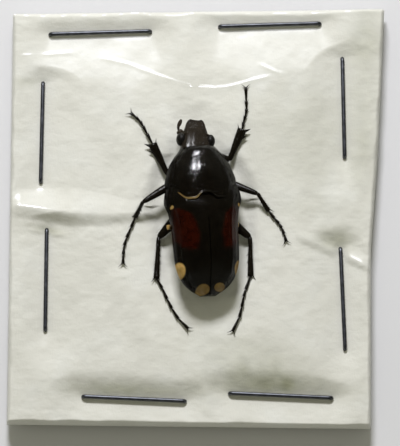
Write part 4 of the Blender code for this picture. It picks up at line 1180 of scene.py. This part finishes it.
def sternite_rings(rows_of_profile, count, grooves=()):
    first, last = rows_of_profile[0][0], rows_of_profile[-1][0]
    y = np.linspace(first, last, count)[:, None]
    half_width, depth = profile(rows_of_profile, 1, y), profile(rows_of_profile, 2, y)
    angle = math.tau * np.arange(64)[None, :] / 64
    x, z = arch(half_width, 1.0, UNDERBODY_SQUARENESS, angle)
    below = z * depth
    above = z * UNDERBODY_EDGE
    for groove in grooves:
        below = below - 0.14 * np.exp(-((y - groove) / 0.13) ** 2)
    z = np.where(np.sin(angle) < 0, UNDERBODY_TOP - np.maximum(below, 0.0), UNDERBODY_TOP + above - 0.1)
    return np.stack([x, np.broadcast_to(y, x.shape), z], axis=-1)


def make_underbody(black, brown):
    for name, rows, count, finish, slot, node_name, grooves in (
        ("prosternum_plate", PROSTERNUM_PROFILE, 30, black, "black_chitin", "prosternum", (4.6,)),
        ("thorax_plates", THORAX_PROFILE, 60, black, "black_chitin", "thorax", (2.2, -2.4)),
        ("abdomen_plates", ABDOMEN_PROFILE, 70, brown, "brown_chitin", "abdomen",
         (-5.6, -7.0, -8.4, -9.8, -11.1)),
    ):
        soup = Soup()
        soup.loft(from_beetle(sternite_rings(rows, count, grooves)))
        if node_name == "thorax":
            for side in (-1, 1):
                plate = np.linspace((side * 3.3, -3.2, -0.7), (side * 4.5, -3.4, -0.05), 7)
                soup.tube(from_beetle(plate), 0.3, (0.4, 0.55, 0.6, 0.6, 0.5, 0.36, 0.15), 14)
        piece = soup_piece(name, soup, finish, [node_name])
        points = (np.concatenate(soup.points) - BEETLE_MATRIX.translation) @ np.array(BEETLE_MATRIX)[:3, :3]
        is_thorax = node_name == "thorax"
        paint(piece, "cream", 0.6 * is_thorax * smoothstep(np.abs(points[:, 0]), *SIDE_DOT_EDGE))
        paint(piece, "red", 0.0)


def make_antennae(finish):
    routes = {
        "left": ((-1.35, 7.9, -0.45), (-2.2, 8.85, -0.3), (-2.15, 9.35, -0.35), (-1.75, 10.2, -0.3)),
        "right": ((1.35, 8.2, -1.25), (1.15, 8.7, -1.4), (1.0, 9.2, -1.35), (0.9, 9.9, -1.2)),
    }
    for label, route in routes.items():
        route = np.array(route)
        soup = Soup()
        stem = np.array([route[0] * (1 - t) + route[1] * t for t in np.linspace(0, 1, 8)])
        radii = 0.42 * np.array((0.6, 0.85, 0.9, 0.95, 1.0, 1.05, 1.0, 0.7))
        soup.tube(from_beetle(stem), radii, 0.7 * radii, 12)
        for k in range(6):
            here = route[1] + (route[2] - route[1]) * (k + 0.5) / 6
            step = (route[2] - route[1]) / 14
            bead = np.array([here - step, here - step / 2, here + step / 2, here + step])
            radii = (0.12 + 0.015 * k) * np.array((0.5, 1.0, 1.0, 0.5))
            soup.tube(from_beetle(bead), radii, radii, 10)
        run = route[3] - route[2]
        for leaf in (-1, 0, 1):
            shift = np.array((0.0, 0.0, 0.11 * leaf))
            spread = np.array((0.0, 0.0, 0.1 * leaf))
            shares = np.linspace(0.0, 1.0, 9)[:, None]
            blade = route[2] + shift + run * shares + spread * shares
            swell = np.sin(math.pi * np.clip(0.12 + 0.82 * shares[:, 0], 0, 1)) ** 0.5
            soup.tube(from_beetle(blade), 0.24 * swell, 0.055 * swell + 0.01, 14)
        soup_piece("antenna_%s_club" % label, soup, finish, ["antenna_" + label])


def limb_stretch(soup, start, end, widths, shape):
    """A flattened limb with given widths at its start, middle and end."""
    shares, fullness = np.transpose(shape)
    half = profile(tuple(zip((0.0, 0.5, 1.0), widths)), 1, shares) / 2 * fullness
    route = start * (1 - shares[:, None]) + end * shares[:, None]
    soup.tube(route, half, half * LEG_FLATNESS, 18)


def make_femur(name, leg, hip, knee, finish, rng):
    """The thigh with its thick base and its bristles."""
    soup = Soup()
    widths = leg["femur_widths"]
    length = np.linalg.norm(knee - hip)
    along = unit(knee - hip)
    across = unit(np.cross(along, UP))
    limb_stretch(soup, hip, knee, widths, FEMUR_SHAPE)
    limb_stretch(soup, hip - along * 0.5, hip + along * 0.35, FEMUR_BASE_WIDTHS, FEMUR_BASE_SHAPE)
    for share in np.linspace(0.25, 0.92, 16):
        for side in (-1, 1):
            base = hip + along * length * share + across * side * widths[1] / 2 * 0.92
            lean = across * side + along * rng.uniform(0.5, 1.2) + UP * rng.uniform(-0.5, 0.2)
            soup.spine(base, lean, rng.uniform(0.22, 0.4), 0.018, sides=3, steps=3)
    soup_piece("femur_%s_limb" % name, soup, finish, ["femur_" + name])


def make_tibia(name, leg, knee, ankle, outward, finish, rng):
    """The shin with its outer teeth, its spurs at the ankle and its bristles."""
    soup = Soup()
    length = np.linalg.norm(ankle - knee)
    along = unit(ankle - knee)
    limb_stretch(soup, knee - along * 0.12, ankle, leg["tibia_widths"], TIBIA_SHAPE)
    _, half_middle, half_end = (width / 2 for width in leg["tibia_widths"])
    if name.startswith("front"):
        spurs = ((-1, 0.62),)
        for share, size in ((0.74, 0.72), (0.95, 0.82)):
            base = knee + along * length * share + outward * (half_end - 0.28)
            soup.spine(base, outward + along * 0.75, size, 0.26, along * 0.15, sides=8, steps=7)
    else:
        spurs = ((-1, 0.75), (-0.2, 0.6), (1, 0.35))
        for share in (0.42, 0.6):
            base = knee + along * length * share + outward * (half_middle - 0.1)
            soup.spine(base, outward + along, 0.4, 0.09, sides=6)
    for side, size in spurs:
        base = ankle + outward * side * (half_end - 0.12) - along * 0.12
        soup.spine(base, along + outward * side * 0.6, size, 0.085, sides=8, steps=6)
    for share in np.linspace(0.12, 0.97, 20):
        for side in (-1, 1):
            base = knee + along * length * share + outward * side * half_end * 0.8 * (0.6 + 0.4 * share)
            lean = outward * side * rng.uniform(0.5, 1.0) + along * rng.uniform(0.6, 1.1)
            lean = lean + UP * rng.uniform(-0.3, 0.4)
            soup.spine(base, lean, rng.uniform(0.25, 0.42), 0.02, sides=3, steps=3)
    soup_piece("tibia_%s_limb" % name, soup, finish, ["tibia_" + name])


def make_tarsus(name, leg, start, finish):
    """The foot: five joints, each with three short spines at its end, and two claws."""
    soup = Soup()
    shares, fullness = np.transpose(TARSUS_SHAPE)
    radii = TARSUS_RADIUS * fullness
    for x, y in leg["toes"]:
        end = limb_point(x, y, TARSUS_RADIUS)
        run = unit(end - start)
        soup.tube(start + np.outer(shares, end - start), radii, radii, 12)
        across = np.cross(run, UP)
        for side in (-1, 1):
            base = end + across * side * TARSUS_RADIUS * 0.7 - run * 0.08
            soup.spine(base, run + across * side * 0.7, 0.34, 0.045, sides=4)
        soup.spine(end - run * 0.06 - UP * TARSUS_RADIUS * 0.5, run - UP * 0.25, 0.3, 0.04, sides=4)
        start = end
    for side in (-1, 1):
        lean = run + across * side * 0.75 + UP * 0.25
        bend = across * side * 0.2 - UP * 0.35
        soup.spine(end - run * 0.05, lean, CLAW_LENGTH, 0.09, bend, sides=8, steps=8)
    soup_piece("tarsus_%s_joints" % name, soup, finish, ["tarsus_" + name])


def make_leg(name, leg, finish, rng):
    hip = from_beetle(leg["hip"])
    knee = limb_point(*leg["knee"], leg["femur_widths"][2] / 2 * LEG_FLATNESS, leg["knee_lift"])
    ankle = limb_point(*leg["ankle"], leg["tibia_widths"][2] / 2 * LEG_FLATNESS)
    along = unit(ankle - knee)
    outward = unit((-along[1], along[0], 0.0)) * (1.0 if name.endswith("left") else -1.0)
    make_femur(name, leg, hip, knee, finish, rng)
    make_tibia(name, leg, knee, ankle, outward, finish, rng)
    make_tarsus(name, leg, ankle - along * 0.05, finish)


def make_beetle():
    black = chitin_material("black_shell", (0.0045, 0.0035, 0.0022), 0.1, 0.16, 0.012, marked=True)
    plain = chitin_material("black_body_shell", (0.008, 0.006, 0.0035), 0.24, 0.2, 0.03)
    brown = chitin_material("brown_body_shell", (0.02, 0.013, 0.007), 0.35, 0.3, 0.02)
    make_elytra(black)
    make_pronotum(black)
    make_scutellum(black)
    make_head(chitin_material("black_head_shell", (0.022, 0.017, 0.012), 0.17, 0.3, 0.05))
    make_eyes()
    make_underbody(black, brown)
    make_antennae(chitin_material("brown_antenna_shell", (0.035, 0.026, 0.017), 0.4, 0.3, 0.02))
    rng = np.random.default_rng(5)
    for name, leg in LEGS.items():
        make_leg(name, leg, plain, rng)


# Floor, light and camera

def make_stage():
    size = 3.0
    mesh = bpy.data.meshes.new("floor")
    corners = [(-size, -size, 0.0), (size, -size, 0.0), (size, size, 0.0), (-size, size, 0.0)]
    mesh.from_pydata(corners, [], [(0, 1, 2, 3)])
    material, _, shader = new_material("pale_floor")
    shader.inputs["Base Color"].default_value = (*FLOOR_COLOUR, 1.0)
    shader.inputs["Roughness"].default_value = 0.9
    mesh.materials.append(material)
    floor = bpy.data.objects.new("floor", mesh)
    bpy.context.scene.collection.objects.link(floor)


def aimed(obj, location, target):
    obj.location = location
    obj.rotation_euler = (Vector(target) - Vector(location)).to_track_quat("-Z", "Y").to_euler()
    bpy.context.scene.collection.objects.link(obj)
    return obj


def make_lights():
    """A key light behind the packet, and a weak fill light that nothing mirrors."""
    light = bpy.data.lights.new("key", "AREA")
    light.shape = "RECTANGLE"
    light.size, light.size_y = (side * METRES_PER_MM for side in KEY_SIZE)
    light.energy = KEY_RADIANCE * math.pi * light.size * light.size_y
    light.color = KEY_COLOUR
    away = KEY_DISTANCE * METRES_PER_MM
    level = away * math.cos(KEY_ELEVATION)
    place = (level * math.sin(KEY_AZIMUTH), level * math.cos(KEY_AZIMUTH), away * math.sin(KEY_ELEVATION))
    aimed(bpy.data.objects.new("key", light), place, (0.0, 0.0, 0.003))
    light = bpy.data.lights.new("fill", "SUN")
    light.energy = FILL_STRENGTH
    light.angle = math.radians(FILL_ANGLE)
    light.color = FILL_COLOUR
    fill = aimed(bpy.data.objects.new("fill", light), (-0.1, 0.06, 0.5), (0.0, 0.0, 0.0))
    fill.visible_glossy = False


def make_room():
    """A dim room, brighter near the horizon and darker to the left and right."""
    world = bpy.data.worlds.new("studio")
    bpy.context.scene.world = world
    world.use_nodes = True
    tree = world.node_tree
    towards = node(tree, "SeparateXYZ", Vector=node(tree, "TexCoord").outputs["Generated"])
    stops = [(level, tuple(radiance * part for part in ROOM_COLOUR)) for level, radiance in ROOM_RADIANCE]
    background = tree.nodes["Background"]
    tree.links.new(ramp(tree, towards.outputs["Z"], stops), background.inputs["Color"])
    ahead = node(tree, "Math", {"operation": "ABSOLUTE"}, i0=towards.outputs["Y"])
    strength = node(tree, "MapRange", Value=ahead.outputs[0], From_Min=0.2, From_Max=0.7,
                    To_Min=ROOM_SIDE_SHARE)
    tree.links.new(strength.outputs[0], background.inputs["Strength"])


def make_camera():
    data = bpy.data.cameras.new("photo_camera")
    long_side = IMAGE_HEIGHT_PX / PX_PER_MM
    data.lens = data.sensor_width * CAMERA_DISTANCE / long_side
    data.clip_start = 0.01
    data.clip_end = 10.0
    target = Vector(CAMERA_TARGET)
    back = Vector((0.0, -math.cos(CAMERA_ELEVATION), math.sin(CAMERA_ELEVATION)))
    camera = bpy.data.objects.new("photo_camera", data)
    aimed(camera, (target + back * CAMERA_DISTANCE) * METRES_PER_MM, target * METRES_PER_MM)
    bpy.context.scene.camera = camera


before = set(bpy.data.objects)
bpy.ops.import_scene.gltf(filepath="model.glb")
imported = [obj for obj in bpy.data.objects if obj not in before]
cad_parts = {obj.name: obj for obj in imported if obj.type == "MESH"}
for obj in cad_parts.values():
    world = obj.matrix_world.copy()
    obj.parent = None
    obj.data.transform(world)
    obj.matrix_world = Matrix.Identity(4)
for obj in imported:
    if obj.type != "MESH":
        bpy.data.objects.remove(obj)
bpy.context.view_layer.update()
BACK_SAMPLES = back_samples()
LEG_SAMPLES = leg_samples()

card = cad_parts["card"]
card.data.materials.clear()
card.data.materials.append(card_material())
make_cotton()
make_film()
make_staples()
make_beetle()
make_stage()
make_lights()
make_room()
make_camera()
bpy.context.scene.view_settings.view_transform = "Standard"
